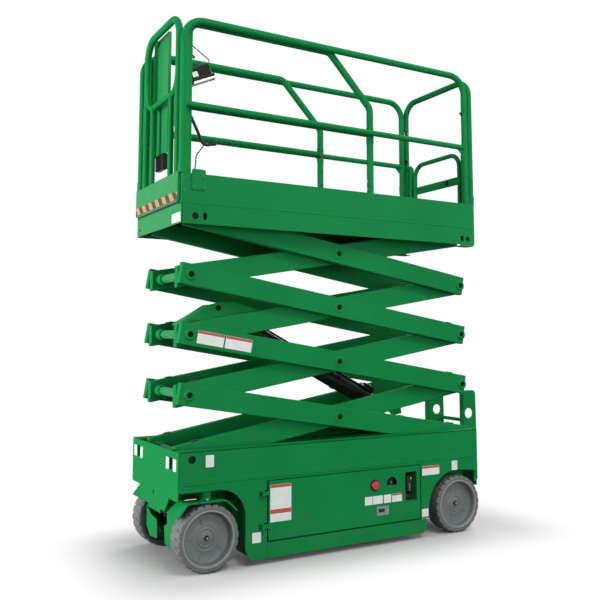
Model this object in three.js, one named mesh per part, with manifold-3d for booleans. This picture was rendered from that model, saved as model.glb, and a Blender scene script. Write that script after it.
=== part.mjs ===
// Self-propelled electric scissor lift with its platform raised: a narrow chassis on four solid
// tyres, four pairs of crossed arms, and a railed platform with a roll-out front extension.
//
// Millimetres, +X forward, +Y to the machine's left, +Z up. Every piece is drawn in the chassis
// frame (X = 0 midway along the chassis, Y = 0 on the centre line, Z = 0 on the floor). The whole
// group is then moved so that X = 0 is midway between the toe board and the ladder.

import * as THREE from "three";
import { mergeVertices } from "three/addons/utils/BufferGeometryUtils.js";
import Module from "manifold-3d";

const wasm = await Module();
wasm.setup();

// ---------------------------------------------------------------- driving dimensions

const SIDES = [{ name: "left", sign: 1 }, { name: "right", sign: -1 }];

const CHASSIS_HALF = 1117; // half length
const CHASSIS_SIDE = 405; // outer face of the side plates
const CHASSIS_TOP = 686;
const SIDE_PLATE = 10; // thickness
const WELL_SIDE = 320; // outer face of the well's walls, which the arms fold down between
const WELL_FLOOR = 506; // top face
const DOOR = { rear: -604, front: 545, low: 131, high: 480 };
const PAN_LOW = 118; // underside of the belly pan
const BULKHEAD_FRONT = 694;
const BULKHEAD_REAR = -620;

const AXLES = { front: 924, rear: -934.6 };
const WHEEL = { radius: 190.5, inner: 278, outer: 405 };
const KINGPIN_Y = (WHEEL.inner + WHEEL.outer) / 2;

const ARM = { length: 2123.2, height: 130, lead: 64, tail: 30, corner: 12 };
const ARM_ANGLE = THREE.MathUtils.degToRad(9.62);
const INNER_BEAM = { near: 198, far: 248 }; // distances from the centre line
const OUTER_BEAM = { near: 258, far: 308 };
const FIRST_PIN = { x: 1017.5, z: 642.2 };
const LEVELS = 4;
const RISE = ARM.length * Math.sin(ARM_ANGLE); // from one level of pins to the next
const PIN_RADIUS = 20;
const BORE_RADIUS = 22;
const ROLLER = { radius: 33, near: 322, far: 390 };
const pinHeight = (level) => FIRST_PIN.z + level * RISE;

const DECK = { rear: -1141, front: 1120, side: 402, plate: 4, low: 1996, high: 2297, floor: 2120 };
const EXTENSION = { rear: -300, floor: 2132, thickness: 6, half: 345, rail: 326, tube: 20 };
const TOE_BOARD = { rear: 1137.5, front: 1140.5, half: 365, low: 2127, high: 2305 };
const RAIL = { y: 375, front: 1110, rear: -1090, top: 3245, middle: 2718, tube: 22.5 };
const REAR_FRAME = { x: -1135.5, y: 373, top: 3240, hingePost: 308, tube: 22.5 };
const LADDER = { y: 181, rear: -1321, front: -1164, top: 940, bottom: 300 };

const ORIGIN_X = (TOE_BOARD.front + LADDER.rear) / 2;
const GAP = 0.3; // between faces that touch

// ---------------------------------------------------------------- solids

// A closed three.js geometry as a manifold solid with its faces pointing out.
function solid(geometry) {
  const bare = geometry.index ? geometry.toNonIndexed() : geometry.clone();
  bare.deleteAttribute("normal");
  bare.deleteAttribute("uv");
  const merged = mergeVertices(bare, 1e-3);
  const vertProperties = new Float32Array(merged.getAttribute("position").array);
  const triVerts = dropSlivers(merged.index.array);
  if (signedVolume(vertProperties, triVerts) < 0) {
    triVerts.reverse();
  }
  return new wasm.Manifold(new wasm.Mesh({ numProp: 3, vertProperties, triVerts }));
}

// Triangles left after merging, without those that two merged corners made flat.
function dropSlivers(index) {
  const kept = [];
  for (let i = 0; i < index.length; i += 3) {
    const [a, b, c] = [index[i], index[i + 1], index[i + 2]];
    if (a !== b && b !== c && c !== a) {
      kept.push(a, b, c);
    }
  }
  return new Uint32Array(kept);
}

function signedVolume(points, index) {
  const corner = (i) => new THREE.Vector3().fromArray(points, 3 * index[i]);
  let total = 0;
  for (let i = 0; i < index.length; i += 3) {
    total += corner(i).dot(corner(i + 1).cross(corner(i + 2)));
  }
  return total / 6;
}

function union(...pieces) {
  return pieces.flat().reduce((whole, piece) => whole.add(piece));
}

function cut(whole, ...tools) {
  return tools.flat().reduce((left, tool) => left.subtract(tool), whole);
}

function block(x0, x1, y0, y1, z0, z1) {
  const geometry = new THREE.BoxGeometry(x1 - x0, Math.abs(y1 - y0), z1 - z0);
  geometry.translate((x0 + x1) / 2, (y0 + y1) / 2, (z0 + z1) / 2);
  return solid(geometry);
}

// A round bar between two points.
function rod(from, to, radius, sides = 12) {
  const start = new THREE.Vector3(...from);
  const along = new THREE.Vector3(...to).sub(start);
  const geometry = new THREE.CylinderGeometry(radius, radius, along.length(), sides);
  geometry.translate(0, along.length() / 2, 0);
  const turn = new THREE.Quaternion().setFromUnitVectors(
    new THREE.Vector3(0, 1, 0), along.clone().normalize());
  geometry.applyQuaternion(turn);
  geometry.translate(start.x, start.y, start.z);
  return solid(geometry);
}

// An outline across one axis, drawn as [X, Z] across Y, [Y, Z] across X or [X, Y] across Z, and
// carried from low to high along that axis.
const SWEEPS = {
  x: (low) => [[0, 1, 0], [0, 0, 1], [1, 0, 0], [low, 0, 0]],
  y: (low, high) => [[1, 0, 0], [0, 0, 1], [0, -1, 0], [0, high, 0]],
  z: (low) => [[1, 0, 0], [0, 1, 0], [0, 0, 1], [0, 0, low]],
};

function prism(axis, outline, low, high) {
  const shape = outline instanceof THREE.Shape ? outline
    : new THREE.Shape(outline.map((point) => new THREE.Vector2(...point)));
  const geometry = new THREE.ExtrudeGeometry(shape,
    { depth: high - low, bevelEnabled: false, curveSegments: 8 });
  const [right, up, out, origin] = SWEEPS[axis](low, high);
  const place = new THREE.Matrix4().makeBasis(
    new THREE.Vector3(...right), new THREE.Vector3(...up), new THREE.Vector3(...out));
  place.setPosition(...origin);
  geometry.applyMatrix4(place);
  return solid(geometry);
}

// The same solid on the machine's other side.
function mirrored(piece) {
  return piece.mirror([0, 1, 0]);
}

function onSide(piece, sign) {
  return sign > 0 ? piece : mirrored(piece);
}

function onBothSides(piece) {
  return union(piece, mirrored(piece));
}

// A revolved outline of [radius, distance along Y] points, turned about an axis along Y.
function turned(outline, x, z, segments) {
  const points = outline.map((point) => new THREE.Vector2(...point));
  const geometry = new THREE.LatheGeometry(points, segments);
  geometry.translate(x, 0, z);
  return solid(geometry);
}

// The centre line of a bent tube: straight runs between corners, each corner rounded by an arc.
class BentPath extends THREE.Curve {
  constructor(corners, bend, arcSteps) {
    super();
    this.stations = [corners[0].clone()];
    for (let i = 1; i < corners.length - 1; i += 1) {
      const back = corners[i - 1].clone().sub(corners[i]).normalize();
      const ahead = corners[i + 1].clone().sub(corners[i]).normalize();
      const half = back.angleTo(ahead) / 2;
      const run = bend / Math.tan(half);
      const middle = back.clone().add(ahead).normalize();
      const centre = corners[i].clone().addScaledVector(middle, bend / Math.sin(half));
      const start = corners[i].clone().addScaledVector(back, run).sub(centre);
      const axis = new THREE.Vector3().crossVectors(back, ahead).normalize().negate();
      const sweep = Math.PI - 2 * half;
      for (let step = 0; step <= arcSteps; step += 1) {
        const turn = start.clone().applyAxisAngle(axis, (sweep * step) / arcSteps);
        this.stations.push(turn.add(centre));
      }
    }
    this.stations.push(corners[corners.length - 1].clone());
  }

  get steps() {
    return this.stations.length - 1;
  }

  getSpacedPoints() {
    return this.stations.map((station) => station.clone());
  }

  getPointAt(u) {
    return this.stations[Math.round(u * this.steps)].clone();
  }

  getTangentAt(u) {
    const i = Math.round(u * this.steps);
    const before = this.stations[Math.max(i - 1, 0)];
    const here = this.stations[i];
    const after = this.stations[Math.min(i + 1, this.steps)];
    const arriving = here.clone().sub(before).normalize();
    const leaving = after.clone().sub(here).normalize();
    return arriving.add(leaving).normalize();
  }
}

// A round tube along corners, bent to one radius at each.
function pipe(corners, radius, bend, { sides = 10, arcSteps = 5 } = {}) {
  const path = new BentPath(corners.map((corner) => new THREE.Vector3(...corner)), bend, arcSteps);
  const section = new THREE.Shape();
  for (let i = 0; i < sides; i += 1) {
    const angle = (2 * Math.PI * (i + 0.5)) / sides;
    const place = [radius * Math.cos(angle), radius * Math.sin(angle)];
    section[i === 0 ? "moveTo" : "lineTo"](...place);
  }
  section.closePath();
  return solid(new THREE.ExtrudeGeometry(section, { steps: path.steps, extrudePath: path }));
}

// ---------------------------------------------------------------- finishes and the scene graph

const FINISHES = {
  green: { color: 0x0c7d3e, roughness: 0.42, metalness: 0 },
  black: { color: 0x15171a, roughness: 0.5, metalness: 0 },
  rubber: { color: 0x5f6261, roughness: 0.85, metalness: 0 },
  disc: { color: 0x6e7675, roughness: 0.5, metalness: 0.2 },
  steel: { color: 0x9aa0a2, roughness: 0.35, metalness: 0.9 },
};
const materials = Object.fromEntries(Object.entries(FINISHES).map(
  ([name, finish]) => [name, new THREE.MeshStandardMaterial(finish)]));

const machine = new THREE.Group();
machine.position.x = -ORIGIN_X;

function addNode(name, finish, piece) {
  const { vertProperties, triVerts } = piece.getMesh();
  const geometry = new THREE.BufferGeometry();
  geometry.setAttribute("position", new THREE.BufferAttribute(vertProperties, 3));
  geometry.setIndex(new THREE.BufferAttribute(triVerts, 1));
  geometry.computeVertexNormals();
  const mesh = new THREE.Mesh(geometry, materials[finish]);
  mesh.name = name;
  machine.add(mesh);
  return mesh;
}

// ---------------------------------------------------------------- chassis

const FRAME_FRONT = CHASSIS_HALF - 6 - GAP; // just behind the front plate

// A side plate's outline: arches over both wheels and the door's opening between them.
function sidePlateOutline() {
  const front = { x: 860, z: 292, radius: 166 };
  const rear = { x: -925, z: 175, radius: 249 };
  const rearStart = Math.asin((DOOR.low - rear.z) / rear.radius);
  const outline = new THREE.Shape();
  outline.moveTo(FRAME_FRONT, CHASSIS_TOP);
  outline.lineTo(-CHASSIS_HALF, CHASSIS_TOP);
  outline.lineTo(-CHASSIS_HALF, 345);
  outline.lineTo(-1080, 326);
  outline.lineTo(-1092, 405);
  outline.lineTo(rear.x, rear.z + rear.radius);
  outline.absarc(rear.x, rear.z, rear.radius, Math.PI / 2, rearStart, true);
  outline.lineTo(DOOR.rear - 6, DOOR.low);
  outline.lineTo(DOOR.rear - 6, DOOR.high + 4);
  outline.lineTo(DOOR.front + 6, DOOR.high + 4);
  outline.lineTo(DOOR.front + 6, 34);
  outline.lineTo(667, 34);
  outline.lineTo(BULKHEAD_FRONT, 100);
  outline.lineTo(BULKHEAD_FRONT, front.z);
  outline.absarc(front.x, front.z, front.radius, Math.PI, Math.PI / 2, true);
  outline.lineTo(FRAME_FRONT, front.z + front.radius);
  return outline;
}

const GUARD_HINGE = { y: 393, z: 112, radius: 7 };
const GUARD_TABS = [-520, -55, 410]; // X of the belly pan's hinge tabs
const TRAY_HINGE = { x: 582, y: 414, radius: 9 };
const TRAY_KNUCKLES = [219, 409.5]; // Z of the door's hinge barrels

// A side plate with the flange along its top and the fixed knuckles of its door's hinge.
function sidePlate() {
  const flange = block(-CHASSIS_HALF, FRAME_FRONT, WELL_SIDE + GAP, CHASSIS_SIDE,
    CHASSIS_TOP - 6, CHASSIS_TOP);
  const knuckles = TRAY_KNUCKLES.flatMap((z) => [
    hingeKnuckle(z - 21, z - 13),
    hingeKnuckle(z + 13, z + 21),
  ]);
  return union(prism("y", sidePlateOutline(), CHASSIS_SIDE - SIDE_PLATE, CHASSIS_SIDE), flange,
    knuckles);
}

const REAR_PLATE_FACE = -CHASSIS_HALF + 10;
const FRONT_DECK = 458; // underside of the plate over the front wheels
const WELL_UNDERSIDE = WELL_FLOOR - 6;

// What stands between the side plates: the well for the folded arms, the bulkheads, the belly pan
// and the plate that carries the kingpins.
function chassisFrame() {
  const front = FRAME_FRONT;
  const inside = CHASSIS_SIDE - SIDE_PLATE - GAP;
  const half = [
    block(-CHASSIS_HALF, front, WELL_SIDE - 6, WELL_SIDE, 500, 604),
    block(-CHASSIS_HALF, -20, WELL_SIDE - 6, inside, 598, 604),
    block(950, 1080, WELL_SIDE - 6, WELL_SIDE, 500, CHASSIS_TOP),
    rod([AXLES.front, KINGPIN_Y, 407], [AXLES.front, KINGPIN_Y, FRONT_DECK + 2], 35),
    ...GUARD_TABS.map((x) => block(x - 12, x + 12, 380, 396, 110, PAN_LOW + 2)),
  ];
  const middle = [
    block(-CHASSIS_HALF + 8, front, -WELL_SIDE, WELL_SIDE, WELL_UNDERSIDE, WELL_FLOOR),
    block(-CHASSIS_HALF, REAR_PLATE_FACE, -inside, inside, 300, 560),
    block(BULKHEAD_FRONT - 10, front, -inside, inside, FRONT_DECK, WELL_FLOOR),
    block(BULKHEAD_FRONT - 10, BULKHEAD_FRONT, -inside, inside, PAN_LOW, 500),
    block(BULKHEAD_REAR, BULKHEAD_REAR + 8, -inside, inside, PAN_LOW, 500),
    block(BULKHEAD_REAR, BULKHEAD_FRONT, -385, 385, PAN_LOW, PAN_LOW + 6),
    block(BULKHEAD_REAR, BULKHEAD_FRONT, -40, 40, PAN_LOW, 502),
    rod([FIRST_PIN.x, -WELL_SIDE, FIRST_PIN.z], [FIRST_PIN.x, WELL_SIDE, FIRST_PIN.z],
      PIN_RADIUS),
  ];
  const kingpinBore = rod([AXLES.front, KINGPIN_Y, 400], [AXLES.front, KINGPIN_Y, 478], 21);
  return cut(union(onBothSides(union(half)), middle), kingpinBore, mirrored(kingpinBore));
}

// The box that carries the rear axle, between the bulkhead and the rear plate.
function rearAxleBox() {
  const axle = (reach, radius) => rod([AXLES.rear, -reach, WHEEL.radius],
    [AXLES.rear, reach, WHEEL.radius], radius);
  return union(block(REAR_PLATE_FACE + GAP, BULKHEAD_REAR - GAP, -262, 262, 190,
    WELL_UNDERSIDE - GAP), axle(345, PIN_RADIUS), axle(270, 38));
}

// A fixed knuckle of a tray's hinge, on the side plate ahead of the door.
function hingeKnuckle(low, high) {
  const { x, y, radius } = TRAY_HINGE;
  return union(rod([x, y, low], [x, y, high], radius),
    block(x, x + 26, CHASSIS_SIDE - 1, y, low, high));
}

function frontPlate() {
  const outline = [[405, 424], [405, CHASSIS_TOP], [-405, CHASSIS_TOP], [-405, 424], [-401, 416],
    [-393, 412], [-263, 412], [-263, 404], [-193, 326], [193, 326], [263, 404], [263, 412],
    [393, 412], [401, 416]];
  const slot = block(1100, 1130, 266, 306, 580, 646);
  const plate = prism("x", outline, CHASSIS_HALF - 6, CHASSIS_HALF);
  return cut(plate, slot, mirrored(slot), rod([1100, 0, 405], [1130, 0, 405], 9));
}

function ladder() {
  const { y, rear, front, top, bottom } = LADDER;
  const stile = new THREE.Shape();
  stile.moveTo(-CHASSIS_HALF - GAP, bottom);
  stile.lineTo(-CHASSIS_HALF - GAP, 480);
  stile.lineTo(front, 540);
  stile.lineTo(front, top);
  stile.lineTo(rear + 36, top);
  stile.absarc(rear + 36, top - 30, 30, Math.PI / 2, Math.PI, false);
  stile.lineTo(rear, bottom + 24);
  stile.lineTo(rear + 24, bottom);
  const half = cut(union(prism("y", stile, y - 4, y + 4),
    block(front - 4, front, y, y + 41, 545, top - 12)),
  rod([-1247, y - 20, 773], [-1247, y + 20, 773], 36.5));
  const rungs = [330, 520, 710].map((z) => rod([-1292, -y, z], [-1292, y, z], 13, 10));
  const base = block(-CHASSIS_HALF - 8, -CHASSIS_HALF - GAP, -y, y, bottom, 480);
  return union(onBothSides(half), rungs, base);
}

addNode("chassis_frame", "green", chassisFrame());
addNode("rear_axle_box", "green", rearAxleBox());
addNode("front_beam", "green", block(BULKHEAD_FRONT + GAP, FRAME_FRONT, -105, 105, 300,
  FRONT_DECK - GAP));
for (const { name, sign } of SIDES) {
  addNode(`side_plate_${name}`, "green", onSide(sidePlate(), sign));
}
addNode("front_plate", "green", frontPlate());
addNode("ladder", "green", ladder());

// A ground guard below each door. It folds in and up about its top edge.
function guard() {
  const outline = [[545, 34], [545, 124], [-655, 124], [-655, 78], [-646, 52], [-618, 34]];
  const { y, z, radius } = GUARD_HINGE;
  const barrels = GUARD_TABS.flatMap((x) => [
    rod([x - 60, y, z], [x - 13, y, z], radius, 10),
    rod([x + 13, y, z], [x + 60, y, z], radius, 10),
  ]);
  return union(prism("y", outline, 397, CHASSIS_SIDE), barrels);
}

// A door with the shelf that swings out with it.
function tray() {
  const { x, y, radius } = TRAY_HINGE;
  const shelf = [[DOOR.front - 5, 60], [DOOR.front - 5, 400], [DOOR.rear + 6, 400],
    [-545, 60]];
  const hinges = TRAY_KNUCKLES.map((z) => union(
    rod([x, y, z - 12], [x, y, z + 12], radius),
    block(500, x, CHASSIS_SIDE + GAP, y - 2, z - 12, z + 12),
    block(500, DOOR.front, CHASSIS_SIDE - 2, y - 2, z - 12, z + 12)));
  return union(block(DOOR.rear, DOOR.front, 397, CHASSIS_SIDE, DOOR.low, DOOR.high),
    prism("z", shelf, 136, 142), hinges);
}

// The emergency stop button and the key switch on the left door.
function doorControls() {
  const stop = { x: -234, z: 382 };
  const key = { x: -370, z: 389 };
  const along = (at, from, to, radius) => rod([at.x, from, at.z], [at.x, to, at.z], radius);
  return union(along(stop, 400, 409, 36), along(stop, 400, 419, 18), along(key, 400, 408, 40),
    along(key, 400, 417, 10));
}

// What the trays carry: the hydraulic unit on the left and the batteries on the right, a block each.
const HYDRAULIC_UNIT = block(-440, 430, 84, 384, 140, 430);
const BATTERIES = block(-470, 430, -384, -80, 140, 440);

for (const { name, sign } of SIDES) {
  addNode(`guard_${name}`, "green", onSide(guard(), sign));
}
addNode("tray_left", "green", union(tray(), HYDRAULIC_UNIT, doorControls()));
addNode("tray_right", "green", union(mirrored(tray()), BATTERIES));

// ---------------------------------------------------------------- steering and wheels

// A left front knuckle: the bent plate over the tyre, the plate inside it, the drive motor and the
// axle, all turning on the kingpin.
function knuckle() {
  const x = AXLES.front;
  const z = WHEEL.radius;
  const strip = [[742, 336], [812, 402], [1050, 402], [1116, 325], [1108, 317], [1045, 390],
    [817, 390], [750, 327]];
  const plan = [[740, 250], [812, 256], [1050, 256], [1118, 215], [1118, 400], [740, 400]];
  const fender = prism("y", strip, 200, 410).intersect(prism("z", plan, 300, 420));
  const shield = [[268, 285], [235, 250], [115, 229], [62, 207], [97, 107], [200, 100], [268, 150]];
  return union(fender,
    block(838, 1010, 256, 268, 95, 396),
    block(1000, 1060, 256, 266, 150, 284),
    prism("x", shield, 1056, 1064),
    rod([x, 176, z], [x, 260, z], 62, 16),
    rod([x, 250, z], [x, 345, z], PIN_RADIUS),
    rod([x, KINGPIN_Y, 396], [x, KINGPIN_Y, 404], 34),
    rod([x, KINGPIN_Y, 396], [x, KINGPIN_Y, 472], 19));
}

const WHEEL_SEGMENTS = 28;
const TYRE_OUTLINE = [[152, 282], [156, 278], [184, 278], [190.5, 286], [190.5, 397], [184, 405],
  [156, 405], [152, 401], [152, 282]];
const DISC_OUTLINE = [[0, 377], [22, 377], [26, 365], [58, 362], [108, 358], [138, 364],
  [151.5, 398], [151.5, 300], [120, 294], [23, 290], [23, 350], [0, 350]];
const WHEELS = [["front", "left"], ["front", "right"], ["rear", "left"], ["rear", "right"]];

for (const { name, sign } of SIDES) {
  addNode(`knuckle_${name}`, "green", onSide(knuckle(), sign));
}
for (const [axle, side] of WHEELS) {
  const sign = side === "left" ? 1 : -1;
  const wheel = (outline) => onSide(
    turned(outline, AXLES[axle], WHEEL.radius, WHEEL_SEGMENTS), sign);
  addNode(`tyre_${axle}_${side}`, "rubber", wheel(TYRE_OUTLINE));
  addNode(`disc_${axle}_${side}`, "disc", wheel(DISC_OUTLINE));
}

// ---------------------------------------------------------------- crossed arms

// Each arm frame is drawn lying flat, its front pin at the origin and its rear pin at -X, and then
// turned about the front pin. An inner frame climbs to the rear and an outer one to the front.

// A beam's outline. A slim end is thinned on top so that it clears the platform's floor.
function beamOutline(slimEnd) {
  const { length, height, lead, tail, corner } = ARM;
  const half = height / 2;
  const slim = { reach: 36, top: 34, back: 330 };
  const frontTop = slimEnd === "front"
    ? [[slim.reach, -half + corner], [slim.reach, slim.top], [0, slim.top], [-slim.back, half]]
    : [[lead, -half + corner], [lead, half - corner], [lead - corner, half]];
  const rearTop = slimEnd === "rear"
    ? [[-length + slim.back, half], [-length, slim.top], [-length - tail, slim.top]]
    : [[-length - tail + corner, half], [-length - tail, half - corner]];
  return [[-length - tail, -half + corner], [-length - tail + corner, -half],
    [slimEnd === "front" ? slim.reach - corner : lead - corner, -half], ...frontTop, ...rearTop];
}

const across = (x, z, from, to, radius, sides = 12) => rod([x, from, z], [x, to, z], radius,
  sides);

// Bores through a left beam, at places along it.
function bored(beam, near, far, places) {
  return cut(beam, places.map((x) => across(x, 0, near - 20, far + 20, BORE_RADIUS)));
}

function innerFrame(level) {
  const rearShaft = level === LEVELS;
  const ends = rearShaft ? [0] : [0, -ARM.length];
  const beam = prism("y", beamOutline(rearShaft ? "rear" : null), INNER_BEAM.near,
    INNER_BEAM.far);
  const half = [beam, across(-ARM.length / 2, 0, INNER_BEAM.far - 4, OUTER_BEAM.far - 4,
    PIN_RADIUS)];
  const sleeves = ends.map((x) => across(x, 0, -INNER_BEAM.near - 4, INNER_BEAM.near + 4, 30));
  let frame = union(onBothSides(union(half)), sleeves);
  frame = cut(frame, ends.map((x) => across(x, 0, -300, 300, BORE_RADIUS)));
  if (rearShaft) {
    frame = union(frame, rollerShaft(-ARM.length));
  }
  if (level === 1) {
    frame = union(frame, onBothSides(barrelMount()));
  }
  if (level === 3) {
    frame = union(frame, rodMount(GUSSETS.left), mirrored(rodMount(GUSSETS.right)));
  }
  return frame;
}

function outerFrame(level) {
  const top = level === LEVELS;
  const bottom = level === 1;
  const beam = prism("y", beamOutline(top ? "front" : null), OUTER_BEAM.near, OUTER_BEAM.far);
  const half = union(bored(beam, OUTER_BEAM.near, OUTER_BEAM.far, [-ARM.length / 2]),
    top ? [] : endBoss(0), bottom ? [] : endBoss(-ARM.length));
  const frontReach = top ? 352 : 302;
  let frame = union(onBothSides(half), across(0, 0, -frontReach, frontReach, PIN_RADIUS));
  frame = bottom ? union(frame, rollerShaft(-ARM.length))
    : union(frame, across(-ARM.length, 0, -302, 302, PIN_RADIUS));
  return cut(frame, socketCuts(top ? [] : [0]), socketCuts(bottom ? [] : [-ARM.length]));
}

// The raised ring round a pin's end, and the blind hole in it.
function endBoss(x) {
  return across(x, 0, OUTER_BEAM.far - 4, OUTER_BEAM.far + 8, 33);
}

function socketCuts(places) {
  return places.flatMap((x) => [
    across(x, 0, OUTER_BEAM.far - 6, OUTER_BEAM.far + 20, BORE_RADIUS),
    across(x, 0, -OUTER_BEAM.far - 20, -OUTER_BEAM.far + 6, BORE_RADIUS),
  ]);
}

// A shaft across the machine with a roller at each end.
function rollerShaft(x) {
  return union(across(x, 0, -ROLLER.far, ROLLER.far, PIN_RADIUS),
    across(x, 0, ROLLER.near, ROLLER.far, ROLLER.radius, 16),
    across(x, 0, -ROLLER.far, -ROLLER.near, ROLLER.radius, 16));
}

// The lift cylinder's two pins, as places in a flat inner frame.
const BARREL_PIN = { x: -1594.5, z: -74.6 };
const ROD_PIN = { x: -322, z: 95.6 };
const STUB = { near: 44, radius: 24 };
const BRACKET = { near: 176, far: 191 }; // distances from the centre line

// The stub sits in a lug that hangs from the beam's inner face.
function barrelMount() {
  const { x, z } = BARREL_PIN;
  return union(across(x, z, STUB.near, INNER_BEAM.near + 4, STUB.radius),
    block(x - 42, x + 42, INNER_BEAM.near - 18, INNER_BEAM.near + 2, z - 38, -10));
}

// A left bracket that stands above the beam on a low foot, with its stub towards the centre. The
// left one is a long gusset and the right one a short plate, both clear of the frame that folds
// down beside them.
const GUSSETS = {
  left: [[30, 40], [30, 66], [0, 78], [-89, 108], [-193, 146], [-280, 150], [-352, 136],
    [-470, 58], [-470, 20], [-60, 20], [-44, 40]],
  right: [[-150, 20], [-150, 60], [-237, 92], [-296, 130], [-348, 130], [-470, 58], [-470, 20]],
};

function rodMount(outline) {
  const { x, z } = ROD_PIN;
  return union(prism("y", outline, BRACKET.near, BRACKET.far),
    block(-470, Math.min(outline[0][0], -60), BRACKET.near, INNER_BEAM.near + 2, 20, 38),
    across(x, z, STUB.near, BRACKET.far - 2, STUB.radius));
}

for (let level = 1; level <= LEVELS; level += 1) {
  const inner = addNode(`arm${level}_inner`, "green", innerFrame(level));
  inner.position.set(FIRST_PIN.x, 0, pinHeight(level - 1));
  inner.rotation.y = ARM_ANGLE;
  const outer = addNode(`arm${level}_outer`, "green", outerFrame(level));
  outer.position.set(FIRST_PIN.x, 0, pinHeight(level));
  outer.rotation.y = -ARM_ANGLE;
}

// ---------------------------------------------------------------- lift cylinder

// A two-stage cylinder from the first inner frame to the third, drawn along +X from its lower pin.
const CYLINDER = { barrelEnd: 1190, stageEnd: 1290, stageStart: 152, rodStart: 238 };

function placeInFrame(pin, level) {
  const turn = new THREE.Vector3(pin.x, 0, pin.z).applyAxisAngle(
    new THREE.Vector3(0, 1, 0), ARM_ANGLE);
  return turn.add(new THREE.Vector3(FIRST_PIN.x, 0, pinHeight(level - 1)));
}

const barrelPin = placeInFrame(BARREL_PIN, 1);
const rodPin = placeInFrame(ROD_PIN, 3);
const cylinderLength = barrelPin.distanceTo(rodPin);
const cylinderSlope = Math.atan2(rodPin.z - barrelPin.z, rodPin.x - barrelPin.x);

function sleeve(from, to, outer, inner, sides = 16) {
  return cut(rod([from, 0, 0], [to, 0, 0], outer, sides),
    rod([from - 5, 0, 0], [to + 5, 0, 0], inner, sides));
}

const CYLINDER_PIECES = [
  ["cylinder_barrel", "black", union(
    sleeve(60, CYLINDER.barrelEnd, 56, 50),
    rod([40, 0, 0], [64, 0, 0], 56, 16),
    across(0, 0, -38, 38, 46, 16))],
  ["cylinder_stage", "black", sleeve(CYLINDER.stageStart, CYLINDER.stageEnd, 47, 37)],
  ["cylinder_rod", "steel", union(
    rod([CYLINDER.rodStart, 0, 0], [cylinderLength - 30, 0, 0], 34, 12),
    across(cylinderLength, 0, -36, 36, 42, 16))],
];
for (const [name, finish, piece] of CYLINDER_PIECES) {
  const mesh = addNode(name, finish, piece);
  mesh.position.copy(barrelPin);
  mesh.rotation.y = -cylinderSlope;
}

// ---------------------------------------------------------------- platform

function platformFrame() {
  const { rear, front, side, plate, low, high, floor } = DECK;
  const lastPin = pinHeight(LEVELS);
  const bracket = cut(block(975, 1060, 324, 350, lastPin - 38, floor - 6),
    across(FIRST_PIN.x, lastPin, 300, 370, BORE_RADIUS));
  const half = [
    block(rear, front, side - plate, side, low, high),
    block(rear, -20, WELL_SIDE, side - 2, 2017, 2023),
    block(1090, front, 352, side, floor - 10, high),
    block(rear, -1067, 352, side, floor - 8, high),
    bracket,
  ];
  return union(onBothSides(union(half)),
    block(rear, front - 6 - GAP, -side + 2, side - 2, floor - 8, floor),
    block(front - 6.5, front, -side, side, 2000, floor),
    block(rear, rear + 24, -side + 2, side - 2, floor - 4, 2150));
}

addNode("platform_frame", "green", platformFrame());

// A side rail: one bent tube and its middle rail.
for (const { name, sign } of SIDES) {
  const y = sign * RAIL.y;
  const loop = pipe([[RAIL.front, y, DECK.high + GAP], [RAIL.front, y, RAIL.top],
    [RAIL.rear, y, RAIL.top], [RAIL.rear, y, DECK.high + GAP]], RAIL.tube, 130);
  const middle = rod([RAIL.front, y, RAIL.middle], [RAIL.rear, y, RAIL.middle], 19, 10);
  addNode(`main_rail_${name}`, "green", union(loop, middle));
}

// The rear frame: a tall arch with a shorter post each side of the gate.
function rearFrame() {
  const { x, y, top, hingePost, tube } = REAR_FRAME;
  const foot = DECK.high + GAP;
  const arch = pipe([[x, -y, foot], [x, -y, top], [x, y, top], [x, y, foot]], tube, 120);
  const post = pipe([[x, hingePost, 2150 + GAP], [x, hingePost, 2705], [x, y - 6, 2705]],
    19, 36, { arcSteps: 4 });
  return union(arch, onBothSides(post));
}

// The gate: a rounded loop with a flat bar, hung on the right-hand post.
const GATE = { half: 262, low: 2196, top: 2705, tube: 17 };

function gate() {
  const { x, hingePost } = REAR_FRAME;
  const { half, low, top, tube } = GATE;
  const loop = pipe([[x, -half, low], [x, -half, top], [x, half, top], [x, half, low]],
    tube, 110);
  const straps = [2250, 2480, 2570].map((z) => block(x - 6, x + 6, -hingePost + 19 + 0.8,
    -half, z - 14, z + 14));
  return union(loop, rod([x, -half, low], [x, half, low], tube, 10),
    block(x - 5, x + 5, -half, half, 2470, 2530), straps,
    block(x - 10, x + 10, half - 4, hingePost - 19 - 3, 2470, 2496));
}

addNode("rear_frame", "green", rearFrame());
addNode("gate", "green", gate());

// ---------------------------------------------------------------- roll-out extension

const extensionTop = EXTENSION.floor + GAP;
const FRONT_FRAME = { x: 1107, post: 290, top: 3300, bar: 2827, inner: 167 };

// The floor with the toe board across its front.
addNode("extension_deck", "green", union(
  block(EXTENSION.rear, TOE_BOARD.front, -EXTENSION.half, EXTENSION.half,
    EXTENSION.floor - EXTENSION.thickness, EXTENSION.floor),
  block(TOE_BOARD.rear, TOE_BOARD.front, -TOE_BOARD.half, TOE_BOARD.half, TOE_BOARD.low,
    TOE_BOARD.high)));

for (const { name, sign } of SIDES) {
  const y = sign * EXTENSION.rail;
  const frontPost = 1060;
  const rearPost = -275;
  const loop = pipe([[frontPost, y, extensionTop], [frontPost, y, RAIL.top], [53, y, RAIL.top],
    [rearPost, y, 2905], [rearPost, y, extensionTop]], EXTENSION.tube, 70, { arcSteps: 4 });
  const middle = rod([frontPost, y, RAIL.middle], [rearPost, y, RAIL.middle], 17, 10);
  addNode(`extension_rail_${name}`, "green", union(loop, middle));
}

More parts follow.
